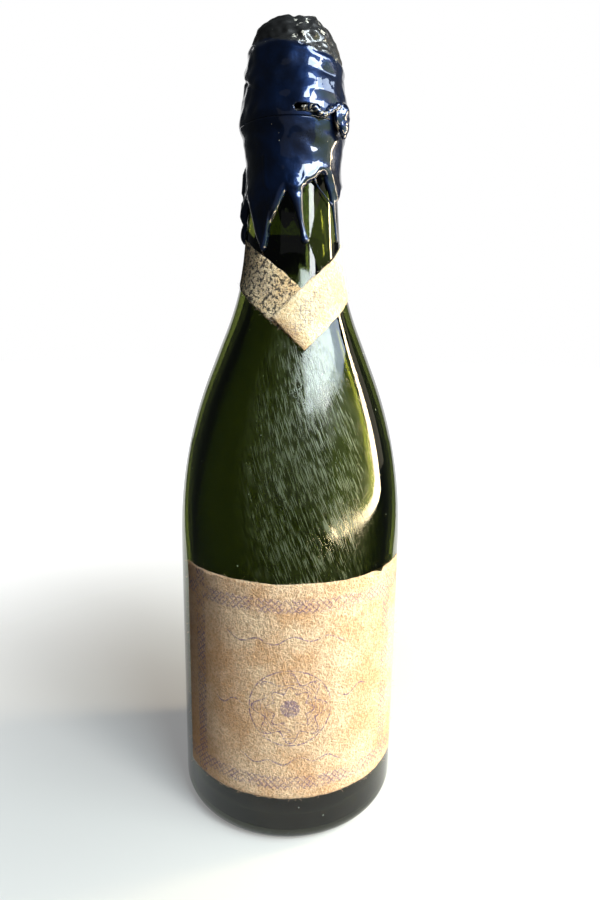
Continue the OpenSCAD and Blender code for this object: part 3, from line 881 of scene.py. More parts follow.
@dataclass
class GlassBody:
    """The bottle's glass, turned finely enough for clean reflections."""

    shape: BottleShape
    segments: int = 256
    lip_round: float = 1.0
    collar_round: float = 1.2
    waist_in: float = 0.5      # of the waist under the bead, from the bead's edge

    def profile(self) -> np.ndarray:
        """Draws the closed half section.

        Returns:
            Rows of distance from the axis and height.
        """
        s = self.shape
        sphere = (s.punt_r ** 2 + s.punt_h ** 2) / (2 * s.punt_h)
        low = s.punt_h - sphere
        lip_r = math.sqrt((sphere + s.punt_lip) ** 2 - (s.punt_lip - low) ** 2)
        lip_a = math.degrees(math.atan2(s.punt_lip - low, lip_r))
        rise = np.linspace(s.side_h, s.flank_z0, 50)
        narrow = np.linspace(s.flank_z1, s.upper_z, 40)
        edge, lip = self.collar_round, self.lip_round
        outside = [
            arc((0, low), sphere, 90, lip_a, 24),
            arc((lip_r, s.punt_lip), s.punt_lip, 180 + lip_a, 270),
            arc((s.side_r - s.heel_r, s.heel_r), s.heel_r, 270, 360),
            np.stack([s.outer(rise), rise], 1), np.stack([s.outer(narrow), narrow], 1),
            even_path([(s.upper_r, s.upper_z), (s.neck_r, s.collar_z)], 36)[1:],
            arc((s.collar_r - edge, s.collar_z + edge), edge, 270, 360, 6),
            arc((s.collar_r - edge, s.waist_z - edge), edge, 0, 90, 6),
            [[s.bead_r - self.waist_in, s.waist_z], [s.bead_r - self.waist_in, s.bead_z]],
            arc((s.bead_r - lip, s.bead_z + lip), lip, 270, 360, 6),
            arc((s.bead_r - lip, s.lip_z - lip), lip, 0, 90, 6)]
        cap = sphere + s.floor_t
        trough_cr = s.side_r - s.wall - s.trough_r
        trough_cz = max(s.ring_t + s.trough_r,
                        low + math.sqrt(max(0.0, (cap + s.trough_r) ** 2 - trough_cr ** 2)))
        away = math.hypot(trough_cr, trough_cz - low)
        trough_a = math.degrees(math.atan2(trough_cz - low, trough_cr)
                                + math.acos(min(1.0, (cap + s.trough_r) / away)))
        inside = [
            arc((s.bore_r + lip, s.lip_z - lip), lip, 90, 180, 6),
            even_path([(s.bore_r, s.lip_z - lip), (s.bore_r, s.lip_z - s.bore_l),
                       (float(s.inner(s.upper_z)), s.upper_z)], 40)[1:-1],
            np.stack([s.inner(narrow), narrow], 1)[::-1], np.stack([s.inner(rise), rise], 1)[::-1],
            arc((trough_cr, trough_cz), s.trough_r, 360, 180 + trough_a),
            arc((0, low), cap, trough_a, 90, 24)]
        return np.vstack([*outside, *inside])

    def build(self) -> None:
        """Makes the glass."""
        obj = lathe("green_glass_bottle", self.profile(), self.segments)
        settle(obj, "bottle", "bottle_glass", GreenGlass().make(), "glass_bottle")


# Paper

@dataclass
class PaperSheet:
    """A sheet of deckle-edged paper on the glass, given by a map from the sheet to its place.

    Attributes:
        name: the piece's name.
        low: the sheet's lower left corner, in millimetres of its own map.
        high: its upper right corner.
        place: turns sheet coordinates and a height over the paper's underside into points.
        cell: the grid's spacing.
        thickness: the paper's thickness.
        deckle: how far its edges wander.
        cockle: how far its face stands up and down.
        rim: its thickness at the edges, as a share.
        seed: the seed of its edges.
    """

    name: str
    low: tuple[float, float]
    high: tuple[float, float]
    place: Callable[[np.ndarray, np.ndarray, np.ndarray], np.ndarray]
    cell: float = 0.8
    thickness: float = 0.3
    deckle: float = 0.16
    cockle: float = 0.06
    rim: float = 0.55
    seed: int = 3

    def grid(self) -> tuple[np.ndarray, np.ndarray]:
        """Lays out the sheet with its wandering edges.

        Returns:
            Both coordinates, as two grids.
        """
        counts = [int(round((b - a) / self.cell)) + 1 for a, b in zip(self.low, self.high)]
        u, v = np.meshgrid(np.linspace(self.low[0], self.high[0], counts[0]),
                           np.linspace(self.low[1], self.high[1], counts[1]))
        flat = np.stack([u, v, np.zeros_like(u)], -1)
        wander = [Waves(self.seed + k, 6, 3.4, 1.6)(flat) * self.deckle for k in range(2)]
        near_u = 1 - smooth(np.minimum(u - self.low[0], self.high[0] - u), 0, 2)
        near_v = 1 - smooth(np.minimum(v - self.low[1], self.high[1] - v), 0, 2)
        return u + wander[0] * near_u, v + wander[1] * near_v

    def build(self, body: str, slot: str, material: Material, *nodes: str) -> Object:
        """Makes the sheet as a closed skin.

        Args:
            body: the body that it rides on.
            slot: its material slot.
            material: its paper.
            nodes: the CAD nodes that it replaces.

        Returns:
            The piece.
        """
        u, v = self.grid()
        rows, columns = u.shape
        flat = np.stack([u, v, np.zeros_like(u)], -1)
        relief = Waves(self.seed + 5, 16, 6, 3)(flat) * self.cockle
        inward = np.minimum.reduce([u - u.min(), u.max() - u, v - v.min(), v.max() - v])
        thin = self.thickness * (self.rim + (1 - self.rim) * smooth(inward, 0, 1.2))
        over = self.place(u, v, thin + relief * smooth(inward, 0, 2))
        under = self.place(u, v, np.zeros_like(u))
        count = rows * columns
        top = grid_faces(rows, columns, False)
        faces = top + [tuple(i + count for i in f[::-1]) for f in top]
        border = [*range(columns), *range(2 * columns - 1, count, columns),
                  *range(count - 2, count - columns - 1, -1),
                  *range(count - 2 * columns, 0, -columns)]
        faces += [(a, a + count, b + count, b) for a, b in zip(border, border[1:] + border[:1])]
        own = np.stack([u, v], -1).reshape(-1, 2)
        obj = make_mesh(self.name, np.vstack([over.reshape(-1, 3), under.reshape(-1, 3)]), faces,
                        np.vstack([own, own]))
        return settle(tidy_mesh(obj, FINE_WELD), body, slot, material, *nodes)

    def edge(self) -> np.ndarray:
        """Traces the sheet's outline on its upper face.

        Returns:
            A closed loop of points.
        """
        u, v = self.grid()
        line = np.vstack([np.stack([u[part], v[part]], 1) for part in (
            (0,), (slice(1, None), -1), (-1, slice(-2, None, -1)), (slice(-2, 0, -1), 0))])
        return self.place(line[:, 0], line[:, 1], np.full(len(line), self.thickness * 0.5))


@dataclass
class FrontLabel:
    """The paper label round the front of the body."""

    shape: BottleShape
    azimuth: float = 5.5
    angle: float = 133.0
    bottom: float = 20.5
    height: float = 85.0
    gap: float = 0.05
    curl_at: tuple[float, float] = (48.0, 105.5)   # azimuth and height of the lifted bit of edge
    curl: float = 1.3          # how far it stands off
    curl_half: float = 2.2     # its half-width, in degrees
    band_azimuths: tuple[float, float] = (-48.0, 56.0)
    band_insets: tuple[float, float] = (7.0, 8.0)   # of the level bands, from below and above
    band_half: float = 3.0
    rosette: tuple[float, float, float] = (-3.5, 58.0, 15.0)
    flourishes: tuple[tuple[float, float, float, float], ...] = (
        (-6.0, 84.5, 48.0, 13.0), (-27.0, 58.0, 13.0, 9.0), (21.0, 62.0, 15.0, 10.0),
        (-3.0, 36.5, 40.0, 11.0))

    def place(self, u: np.ndarray, v: np.ndarray, h: np.ndarray) -> np.ndarray:
        """Wraps the label round the body.

        Args:
            u: lengths along the sheet, from its middle.
            v: heights over the table.
            h: heights over the paper's underside.

        Returns:
            The points.
        """
        azimuth = self.azimuth + np.degrees(u / self.shape.side_r)
        lifted = smooth(v, self.curl_at[1] - 2.4, self.curl_at[1] + 0.4)
        curl = self.curl * hump(azimuth, self.curl_at[0], self.curl_half) * lifted
        return around(self.shape.side_r + self.gap + h + curl, azimuth, v - 0.5 * curl)

    def build(self) -> tuple[Object, np.ndarray]:
        """Makes the label.

        Returns:
            The piece and its outline.
        """
        half = math.radians(self.angle / 2) * self.shape.side_r
        top = self.bottom + self.height
        sheet = PaperSheet("paper_front_label", (-half, self.bottom), (half, top), self.place)
        frame_u = tuple(math.radians(a - self.azimuth) * self.shape.side_r
                        for a in self.band_azimuths)
        frame_v = (self.bottom + self.band_insets[0], top - self.band_insets[1])
        pattern = Print(frame_u, frame_v, self.band_half, self.rosette, self.flourishes)
        # The label darkens towards its left side, away from the window: partly age, partly painted
        # shade
        paper = RagPaper("rag_paper_label", "#fbdfbc", "#d69d68", "#8f6238", "#583a74", pattern,
                         0.85, browned_and_shaded=(-18.0, -50.0))
        return sheet.build("bottle", "label_paper", paper.make(), "front_label"), sheet.edge()


@dataclass
class NeckBand:
    """A strip of paper wound round the neck, with its tails crossed at the front."""

    shape: BottleShape
    width: float = 16.0
    left: float = 76.0
    right: float = 75.0
    drop: float = 37.0         # of its highest place, below the collar
    azimuth: float = 188.5     # of its highest place
    cone_angle: float = 13.5   # of the cone that it is wound on
    gap: float = 0.05
    lift: float = 0.65         # of the tail that comes from the right, over the other one
    corner: float = 0.5        # how far that tail's corners stand off
    cell: float = 0.7
    print_middle: float = -0.5
    print_half: float = 4.2

    def place(self, s: np.ndarray, w: np.ndarray, h: np.ndarray) -> np.ndarray:
        """Winds the flat strip round the cone and lays it on the glass.

        Args:
            s: lengths along the strip, from the middle of the back.
            w: lengths across it, from its middle.
            h: heights over the paper's underside.

        Returns:
            The points.
        """
        cone = math.radians(self.cone_angle)
        middle_z = self.shape.collar_z - self.drop - self.width / 2
        reach = float(self.shape.outer(middle_z)) / math.sin(cone)
        away = np.hypot(reach + w, s)
        azimuth = self.azimuth + np.degrees(np.arctan2(s, reach + w)) / math.sin(cone)
        z = middle_z + reach * math.cos(cone) - away * math.cos(cone)
        lift = self.lift * smooth(-s, self.left * 0.45, self.left * 0.62)
        tip = smooth(-s, self.left - 9, self.left) * smooth(np.abs(w), 3, self.width / 2)
        corner = tip * self.corner
        return around(self.shape.outer(z) + self.gap + lift + corner + h, azimuth, z)

    def build(self) -> tuple[Object, np.ndarray]:
        """Makes the band.

        Returns:
            The piece and its outline.
        """
        half = self.width / 2
        sheet = PaperSheet("paper_neck_band", (-self.left, -half), (self.right, half), self.place,
                           self.cell, seed=21)
        pattern = Print((), (self.print_middle,), self.print_half)
        paper = RagPaper("rag_paper_band", "#f8e9c8", "#cfa874", "#b0925e", "#55506e", pattern,
                         0.7, (8.0, 30.0))
        return sheet.build("bottle", "band_paper", paper.make(), "neck_band"), sheet.edge()


# Sealing wax

@dataclass
class Closure:
    """Sizes in millimetres that the wax, the ear and the cage share."""

    collar_z: float = 265.858      # under the glass's collar
    waist_z: float = 270.458       # over it
    head_z: float = 278.358        # where the cork's head starts to arch
    arch_centre: float = -5.9      # the pointed arch's centre, across the axis
    arch_r: float = 20.4
    belt_z: float = 264.388        # the middle of the belt's wire
    belt_wire: float = 1.1
    pivot_r: float = 17.586        # of the ear's root
    ear_azimuth: float = 8.0
    wax_r: float = 18.7            # where the hood meets the skirt


@dataclass(frozen=True)
class Run:
    """A run or bead of wax on the neck.

    Attributes:
        path: azimuth in degrees, height and half-width in millimetres at each point.
        proud: how far it stands off the glass.
    """

    path: tuple[tuple[float, float, float], ...]
    proud: float

    def nearest(self, azimuth: np.ndarray, z: np.ndarray, radius: float
                ) -> tuple[np.ndarray, np.ndarray]:
        """Measures how deep places lie in the run.

        Args:
            azimuth: azimuths in degrees.
            z: heights.
            radius: the glass's radius, for lengths round it.

        Returns:
            The depth inside the run's edge, and the half-width there.
        """
        line = rounded_path([(math.radians(a) * radius, b, w) for a, b, w in self.path],
                            10 * len(self.path))
        x = np.radians(turn(azimuth, 0)) * radius
        depth, width = np.full(x.shape, -99.0), np.ones(x.shape)
        for (ax, az, aw), (bx, bz, bw) in zip(line, line[1:]):
            dx, dz = bx - ax, bz - az
            t = np.clip(((x - ax) * dx + (z - az) * dz) / (dx * dx + dz * dz), 0, 1)
            here = aw + (bw - aw) * t
            inside = here - np.hypot(x - ax - dx * t, z - az - dz * t)
            nearer = inside > depth
            depth, width = np.where(nearer, inside, depth), np.where(nearer, here, width)
        return depth, width


def lump(azimuth: np.ndarray, z: np.ndarray, at: float, high: Numbers, wide: float,
         tall: float) -> np.ndarray:
    """Rises to 1 at an azimuth and a height, with a half-width in degrees and a half-height."""
    return hump(turn(azimuth, at), 0, wide) * hump(z, high, tall)


def seam_swell(azimuth: np.ndarray, z: np.ndarray) -> np.ndarray:
    """Finds how far the wax swells over the belt's wire, and in a lump on the left of it."""
    return 0.3 * hump(z, 264.0, 3.2) + 1.05 * lump(azimuth, z, -87, 263.2, 17, 4.6)


@dataclass
class WaxSkirt:
    """The wax on the neck: a sheet with a scalloped edge, runs, beads and a thread."""

    shape: BottleShape
    top: float = 261.688
    top_r: float = Closure.wax_r
    thickness: float = 1.75
    low: float = 215.5
    gap: float = 0.05
    columns: int = 400
    row: float = 0.28
    rounding: float = 2.2      # how far in from its edge the sheet is rounded
    welt: float = 0.28         # how far its edge stands up
    uneven: float = 0.10       # how much its thickness varies, as a share
    union: int = 4             # a high power, so that the runs join the sheet smoothly
    edge: tuple[tuple[float, float], ...] = (
        (-180, 234), (-168, 231), (-158, 233), (-148, 238), (-134, 232), (-120, 238.5),
        (-104, 239.5), (-95, 234), (-87, 229), (-79, 232), (-70, 236.5), (-62, 234),
        (-55, 229.5), (-48, 224.5), (-41, 220.5), (-36, 218.2), (-31.5, 219.5), (-29, 223),
        (-27, 227), (-20, 231.3), (-13, 235.6), (-7, 238.4), (-2, 238.2), (3, 237.6),
        (9, 238.4), (15, 240.3), (21, 241.4), (27, 242.6), (33, 244.2), (38, 244.6),
        (44, 243.2), (49, 240.6), (54, 238.0), (60, 236.0), (67, 236.8), (78, 240),
        (95, 242), (112, 244), (128, 244.5), (140, 240), (150, 235), (160, 236), (170, 231))
    runs: tuple[Run, ...] = (
        Run(((0, 241, 3.2), (4, 235.5, 1.9), (8, 229.5, 1.05), (11.5, 224.6, 0.95),
             (13.5, 222.3, 1.35)), 1.7),
        Run(((52, 244, 3.0), (57, 237, 1.5), (61, 230, 0.8), (64, 223.5, 0.85)), 1.2),
        Run(((-88, 248, 1.6), (-88, 244, 2.6), (-88, 241, 2.2), (-88, 238.6, 1.2)), 2.3),
        Run(((-88, 238.2, 1.3), (-87.5, 235, 2.4), (-87, 232.4, 2.1), (-87, 230.6, 1.1)), 2.2),
        Run(((-87, 230.2, 1.1), (-86.5, 227, 1.8), (-86, 224.4, 1.7), (-86, 223, 1.0)), 1.9),
        Run(((1, 259.0, 0.5), (8, 259.6, 0.7), (15, 260.2, 0.6), (22, 261.2, 0.6)), 2.6),
        Run(((-36, 250, 1.2), (-35, 245, 0.9), (-33, 240.5, 1.0), (-28, 239, 0.8)), 2.2))
    thread: tuple[tuple[float, float, float], ...] = (
        (24.0, 242.6, 1.2), (30, 240.2, 0.9), (40, 237.4, 0.9), (50, 235.0, 1.0))

    def sheet_depth(self, azimuth: np.ndarray, z: np.ndarray) -> np.ndarray:
        """Measures how far places lie above the sheet's edge, square to it.

        Args:
            azimuth: azimuths in degrees.
            z: heights.

        Returns:
            The distances, below 0 under the edge.
        """
        marks = np.array(self.edge)
        at = np.vstack([marks - [360, 0], marks, marks + [360, 0]])
        fine = rounded_path(at, 3600)
        height = np.interp(azimuth, fine[:, 0], fine[:, 1])
        slope = np.interp(azimuth, fine[:, 0], np.gradient(fine[:, 1], fine[:, 0]))
        slope = np.clip(slope / (math.radians(1) * self.shape.neck_r), -3, 3)
        return (z - height) / np.sqrt(1 + slope ** 2)

    def wax(self, azimuth: np.ndarray, z: np.ndarray) -> tuple[np.ndarray, np.ndarray]:
        """Finds the wax's thickness.

        Args:
            azimuth: azimuths in degrees.
            z: heights.

        Returns:
            The thickness, and the depth inside the wax's outline.
        """
        depth = self.sheet_depth(azimuth, z)
        to_hood = self.top_r + seam_swell(azimuth, z) - self.shape.outer(z) - self.gap
        full = self.thickness + (to_hood - self.thickness) * smooth(z, 246, self.top)
        inside = np.clip(depth, 0, self.rounding)
        sheet = full * np.sqrt(inside * (2 * self.rounding - inside)) / self.rounding
        sheet = sheet + self.welt * hump(depth, 1.6, 1.1) * (depth > 0)
        points = around(self.shape.outer(z), azimuth, z)
        waves = self.uneven * Waves(11, 15, 7, 4)(points)
        sheet = sheet * (1 + waves * smooth(self.top - z, 0, 4))
        total, outline = np.clip(sheet, 0, None) ** self.union, depth
        for run in self.runs:
            inside, width = run.nearest(azimuth, z, self.shape.neck_r + 1)
            share = np.clip(inside / width, 0, 1)
            proud = run.proud * np.clip(width / 1.6, 0.5, 1.25)
            total = total + (proud * np.sqrt(share * (2 - share))) ** self.union
            outline = np.maximum(outline, inside)
        return total ** (1 / self.union), outline

    def build(self, material: Material) -> None:
        """Makes the skirt.

        Args:
            material: the wax.
        """
        rows = int((self.top - self.low) / self.row)
        azimuth, z = np.meshgrid(np.arange(self.columns) * 360 / self.columns - 180,
                                 np.linspace(self.low, self.top, rows))
        _, outline = self.wax(azimuth, z)
        across = math.radians(360 / self.columns) * self.shape.neck_r
        down = z[1, 0] - z[0, 0]
        slope_u = (np.roll(outline, -1, 1) - np.roll(outline, 1, 1)) / (2 * across)
        slope_v = np.gradient(outline, down, axis=0)
        steep = np.maximum(slope_u ** 2 + slope_v ** 2, 0.2)
        # Points just outside the outline move onto it, so that the mesh ends there
        near = (outline < 0) & (outline > -1.6 * max(across, down))
        pull = np.where(near, -outline / steep, 0)
        azimuth = azimuth + np.degrees(pull * slope_u / self.shape.neck_r)
        z = np.clip(z + pull * slope_v, self.low, self.top)
        height, _ = self.wax(azimuth, z)
        height = np.where(near, 0, height)
        kept = outline > 0
        grid = np.array(grid_faces(rows, self.columns, True))
        faces = grid[kept.ravel()[grid].any(axis=1)]
        base = self.shape.outer(z) + self.gap
        outside = around(base + height, azimuth, z).reshape(-1, 3)
        inside = around(base, azimuth, z).reshape(-1, 3)
        count = len(outside)
        edge_top = (rows - 1) * self.columns
        lid = [(edge_top + c, edge_top + (c + 1) % self.columns,
                edge_top + (c + 1) % self.columns + count, edge_top + c + count)
               for c in range(self.columns)]
        parts = [(np.vstack([outside, inside]), [*faces, *(faces[:, ::-1] + count), *lid])]
        route = rounded_path([tuple(around(float(self.shape.outer(b)) + c, a, b))
                              for a, b, c in self.thread], 24)
        t = np.linspace(0, 1, len(route))
        parts.append(sweep(route, 0.2 + 0.55 * hump(t, 1.0, 0.08) + 0.5 * hump(t, 0.0, 0.1), 10))
        obj = tidy_mesh(make_mesh("navy_wax_skirt", *join_parts(parts)))
        settle(obj, "bottle", "sealing_wax", material, "wax_skirt")


@dataclass
class WaxHood(Closure):
    """The wax over the cork's head: a smooth bell with a dull, cracked crust on top."""

    bottom: float = 261.77
    lining_r: float = 17.9
    flat_r: float = 6.4            # of the flat on top
    outside: float = 3.1
    inside: float = 2.3
    inner_top: float = 294.67
    top: float = 298.27
    crust_z: float = 284.6
    crust_tilt: float = 0.2        # how much lower the crust starts for each millimetre of x
    segments: int = 320
    slot_middle: tuple[float, float] = (1.0, 1.8)   # outwards and sideways from the pivot
    slot_size: tuple[float, float, float] = (4.4, 9.0, 2.7)
    slot_round: float = 1.2
    skin_waves: float = 0.22       # the skin's broad waves
    skin_ripples: float = 0.12
    crust_wander: float = 1.2      # how far the crust's edge wanders up and down
    crust_drop: float = 0.25       # how much lower the crust lies than the skin
    crust_grain: tuple[float, float] = (0.1, 0.35)   # its relief, and what the lumpy side adds
    rim: float = 0.35              # the skin's rolled rim under the crust
    # Lumps and dents: azimuth, height, half-width in degrees, half-height, and how far each is out
    lumps: tuple[tuple[float, float, float, float, float], ...] = (
        (-80, 294.5, 75, 4.5, 1.5), (34, 280.8, 9, 2.6, 0.25), (40, 276.6, 12, 1.0, -0.25),
        (27, 273.0, 8, 3.4, 0.2), (40, 269.2, 10, 2.2, -0.15), (52, 274.0, 7, 6.0, 0.3),
        (17, 283.8, 9, 1.2, 0.4), (24, 288.5, 7, 2.0, 0.9), (9, 288.0, 5, 1.6, 0.7),
        (38, 287.0, 6, 3.0, 0.8), (60, 268.5, 9, 2.0, 0.5), (8, 267.6, 12, 1.6, 0.15))

    def arch(self, z0: float, z1: float, more: float, steps: int = 20) -> list[tuple[float, float]]:
        """Follows the arch that runs over the cork's head.

        Args:
            z0: the height where it starts.
            z1: the height where it ends.
            more: how far it lies outside the cork's head.
            steps: how many steps it has.

        Returns:
            Distances from the axis and heights.
        """
        heights = np.linspace(z0, z1, steps + 1)
        reach = self.arch_centre + np.sqrt((self.arch_r + more) ** 2 - (heights - self.head_z) ** 2)
        return list(zip(reach, heights))

    def profile(self) -> tuple[np.ndarray, int]:
        """Draws the closed half section.

        Returns:
            Rows of distance from the axis and height, and how many of them are outside.
        """
        bevel = 0.12
        shell = even_path([(0.01, self.top), (self.flat_r, self.top),
                           *self.arch(self.top - 0.8, self.head_z + 1.7, self.outside),
                           (self.wax_r, self.waist_z), (self.wax_r, self.bottom + bevel),
                           (self.wax_r - bevel, self.bottom)], 180)
        lining = even_path([(self.lining_r, self.bottom), (self.lining_r, self.waist_z),
                            *self.arch(self.head_z, self.inner_top, self.inside),
                            (0.01, self.inner_top)], 40)
        return np.vstack([shell, lining]), len(shell)

    def swell(self, azimuth: np.ndarray, z: np.ndarray, points: np.ndarray) -> np.ndarray:
        """Finds how far the wax stands proud of its plain profile.

        Args:
            azimuth: azimuths in degrees.
            z: heights.
            points: the same places as points.

        Returns:
            The distances in millimetres.
        """
        crust_z = self.crust_z - self.crust_tilt * points[..., 0] \
            + self.crust_wander * Waves(31, 20, 9)(points)
        crust = smooth(z, crust_z, crust_z + 0.7)
        out = self.skin_waves * Waves(32, 17, 9)(points)
        out += self.skin_ripples * (1 - crust) * Waves(33, 5)(points)
        grain, more = self.crust_grain
        grain = grain + more * hump(turn(azimuth, 24), 0, 36)
        out += crust * (grain * Waves(34, 4.6, 2.6)(points) - self.crust_drop)
        out += self.rim * hump(z, crust_z - 1.4, 1.6)
        # A slanting crease on the left, and the fold of wax over it
        crease = turn(azimuth, -68) * -0.16 + 275.2
        out -= 0.55 * lump(azimuth, z, -70, crease, 20, 0.7)
        out += 0.45 * lump(azimuth, z, -74, crease + 2.2, 26, 2.0)
        for at, high, wide, tall, proud in self.lumps:
            out += proud * lump(azimuth, z, at, high, wide, tall)
        return out * smooth(z, self.bottom, self.bottom + 4) + seam_swell(azimuth, z)

    def build(self, material: Material) -> None:
        """Makes the hood.

        Args:
            material: the wax.
        """
        profile, outer_rows = self.profile()
        slope = np.gradient(profile[:outer_rows], axis=0)
        slope /= np.linalg.norm(slope, axis=1)[:, None]

        def bend(points: np.ndarray) -> np.ndarray:
            """Raises the outside, and tips and roughens the top.

            Args:
                points: the turned profile's points.

            Returns:
                The moved points.
            """
            grid = points.reshape(-1, self.segments, 3)
            shown = grid[:outer_rows - 1]
            azimuth = np.degrees(np.arctan2(shown[..., 0], -shown[..., 1]))
            out = self.swell(azimuth, shown[..., 2], shown)
            normal = np.stack([-slope[1:, 1], slope[1:, 0]], 1)
            shown += around(normal[:, :1] * out, azimuth, normal[:, 1:] * out)
            high = smooth(shown[..., 2], 287, 297)
            tip = np.where(shown[..., 0] > 0, -0.18, 0.05) * shown[..., 0]
            shown[..., 2] -= high * (1.5 + tip + 0.25 * Waves(36, 6, 3)(shown))
            return grid.reshape(-1, 3)

        obj = lathe("navy_wax_hood", profile, self.segments, bend)
        self.cut_slot(obj)
        settle(obj, "hood", "sealing_wax", material, "wax_hood")

    def cut_slot(self, obj: Object) -> None:
        """Cuts the slot that the ear's root swings through.

        Args:
            obj: the hood.
        """
        tool = bmesh.new()
        turned = Matrix.Rotation(math.radians(self.ear_azimuth - 90), 4, "Z")
        outwards, sideways = self.slot_middle
        middle = Matrix.Translation(
            Vector((self.pivot_r + outwards, sideways, self.belt_z)) * MM)
        size = Matrix.Diagonal(Vector(self.slot_size) * MM).to_4x4()
        bmesh.ops.create_cube(tool, size=1, matrix=turned @ (middle @ size))
        bmesh.ops.bevel(tool, geom=tool.edges[:], offset=self.slot_round * MM, segments=5,
                        profile=0.5, affect="EDGES")
        mesh = bpy.data.meshes.new("slot_cutter")
        tool.to_mesh(mesh)
        tool.free()
        cutter = bpy.data.objects.new("slot_cutter", mesh)
        bpy.context.scene.collection.objects.link(cutter)
        cut = obj.modifiers.new("slot", "BOOLEAN")
        cut.operation, cut.solver, cut.object = "DIFFERENCE", "EXACT", cutter
        bake(obj)
        bpy.data.objects.remove(cutter)


def bake(obj: Object) -> None:
    """Turns an object's modifiers into plain mesh.

    Args:
        obj: the object.
    """
    graph = bpy.context.evaluated_depsgraph_get()
    mesh = bpy.data.meshes.new_from_object(obj.evaluated_get(graph))
    obj.modifiers.clear()
    old, obj.data = obj.data, mesh
    bpy.data.meshes.remove(old)
    obj.data.polygons.foreach_set("use_smooth", [True] * len(obj.data.polygons))


# Cork, cap plate, cage and ear

@dataclass
class Ear(Closure):
    """The cage's ear: twisted wire folded round the collar, its closed loop and its lump of wax."""

    ridge_r: float = 19.1
    loop_azimuth: float = 55.0
    rise: float = -1.5
    dip: float = 2.0
    loop_d: float = 8.6
    clear: float = 0.15
    twists: float = 8
    loop_sweep: float = 295.0      # how far round the loop's wire runs, in degrees
    bare: int = 11                 # steps of the tail before its wax starts, clear of the slot
    voxel: float = 0.2             # of the mesh that joins the lumps of wax
    # Lumps over the loop: along it, outwards and up from its middle, and the three radii there
    lumps: tuple[tuple[float, ...], ...] = (
        (0.2, 0.35, 1.3, 3.5, 1.75, 3.7), (0.4, 0.3, -1.8, 3.0, 1.6, 3.7),
        (-1.2, 0.0, 0.0, 3.3, 1.3, 3.2), (1.0, 0.1, -4.6, 1.3, 1.0, 1.9),
        (-3.6, -0.2, 2.6, 2.2, 0.9, 1.4))

    def __post_init__(self) -> None:
        """Works out the loop's plane, radius, middle height and direction."""
        self.plane = self.ridge_r + self.clear + self.belt_wire * 0.6
        self.loop_r = (self.loop_d - self.belt_wire) / 2
        self.loop_z = self.belt_z + self.rise
        side = math.radians(self.loop_azimuth)
        self.across = np.array([math.cos(side), math.sin(side), 0])
        self.outwards = np.array([math.sin(side), -math.cos(side), 0])

    def tail(self, steps: int) -> np.ndarray:
        """Follows the twisted tail from its root to the loop's top.

        Args:
            steps: how many steps it has.

        Returns:
            The points.
        """
        t = np.linspace(0, 1, steps + 1)
        far = self.ridge_r + self.clear + self.belt_wire
        out = self.pivot_r + (far - self.pivot_r) * smooth(t, 0, 0.3)
        out += (self.plane - far) * smooth(t, 0.8, 1)
        rise = self.loop_z + self.loop_r - self.belt_z
        dip = self.dip * smooth(t, 0.2, 0.42) * (1 - smooth(t, 0.42, 0.8))
        z = self.belt_z + rise * smooth(t, 0.4, 1) - dip
        azimuth = self.ear_azimuth + (self.loop_azimuth - self.ear_azimuth) * t
        return around(out, azimuth, z)

    def loop(self, steps: int) -> np.ndarray:
        """Follows the loop that hangs from the tail's end."""
        angle = np.radians(90 - self.loop_sweep * np.linspace(0, 1, steps + 1))[:, None]
        return around(self.plane, self.loop_azimuth, self.loop_z) + self.loop_r * (
            np.cos(angle) * self.across + np.sin(angle) * [0, 0, 1])

    def build_wire(self, material: Material) -> None:
        """Makes the two twisted wires and the loop.

        Args:
            material: the wire.
        """
        wires = twist(self.tail(120), self.belt_wire, self.twists)
        wires.append(sweep(self.loop(60), self.belt_wire * 0.5, 12))
        obj = make_mesh("twisted_ear_wire", *join_parts(wires))
        settle(tidy_mesh(obj, FINE_WELD), "ear", "cage_wire", material, "cage_ear")

    def build_wax(self, material: Material) -> None:
        """Makes the wax that clings to the tail and swells over the loop.

        Args:
            material: the wax.
        """
        tail = self.tail(80)[self.bare:]
        t = np.linspace(0, 1, len(tail))
        parts = [sweep(tail, 1.05 + 0.12 * np.sin(t * 60) + 0.45 * smooth(t, 0.5, 1), 16)]
        centre = around(self.ridge_r + 1.15, self.loop_azimuth, self.loop_z)
        axes = np.array([self.across, self.outwards, [0, 0, 1]])
        for lump in self.lumps:
            parts.append(ball(centre + np.array(lump[:3]) @ axes, axes, lump[3:]))
        obj = make_mesh("wax_round_ear", *join_parts(parts))
        merge = obj.modifiers.new("merge", "REMESH")
        merge.mode, merge.voxel_size = "VOXEL", self.voxel * MM
        soften = obj.modifiers.new("soften", "SMOOTH")
        soften.factor, soften.iterations = 0.5, 6
        bake(obj)
        count = len(obj.data.vertices)
        at = np.zeros(count * 3)
        obj.data.vertices.foreach_get("co", at)
        at = at.reshape(-1, 3) / MM
        radius = np.hypot(at[:, 0], at[:, 1])
        keep_off = self.ridge_r + self.clear + 0.1
        push = 0.13 * Waves(41, 4, 2)(at) * smooth(radius, keep_off, keep_off + 1)
        wanted = np.maximum(radius + push, keep_off)
        at[:, :2] *= (wanted / radius)[:, None]
        obj.data.vertices.foreach_set("co", (at * MM).ravel())
        obj.data.update()
        settle(obj, "ear", "sealing_wax", material, "ear_wax")


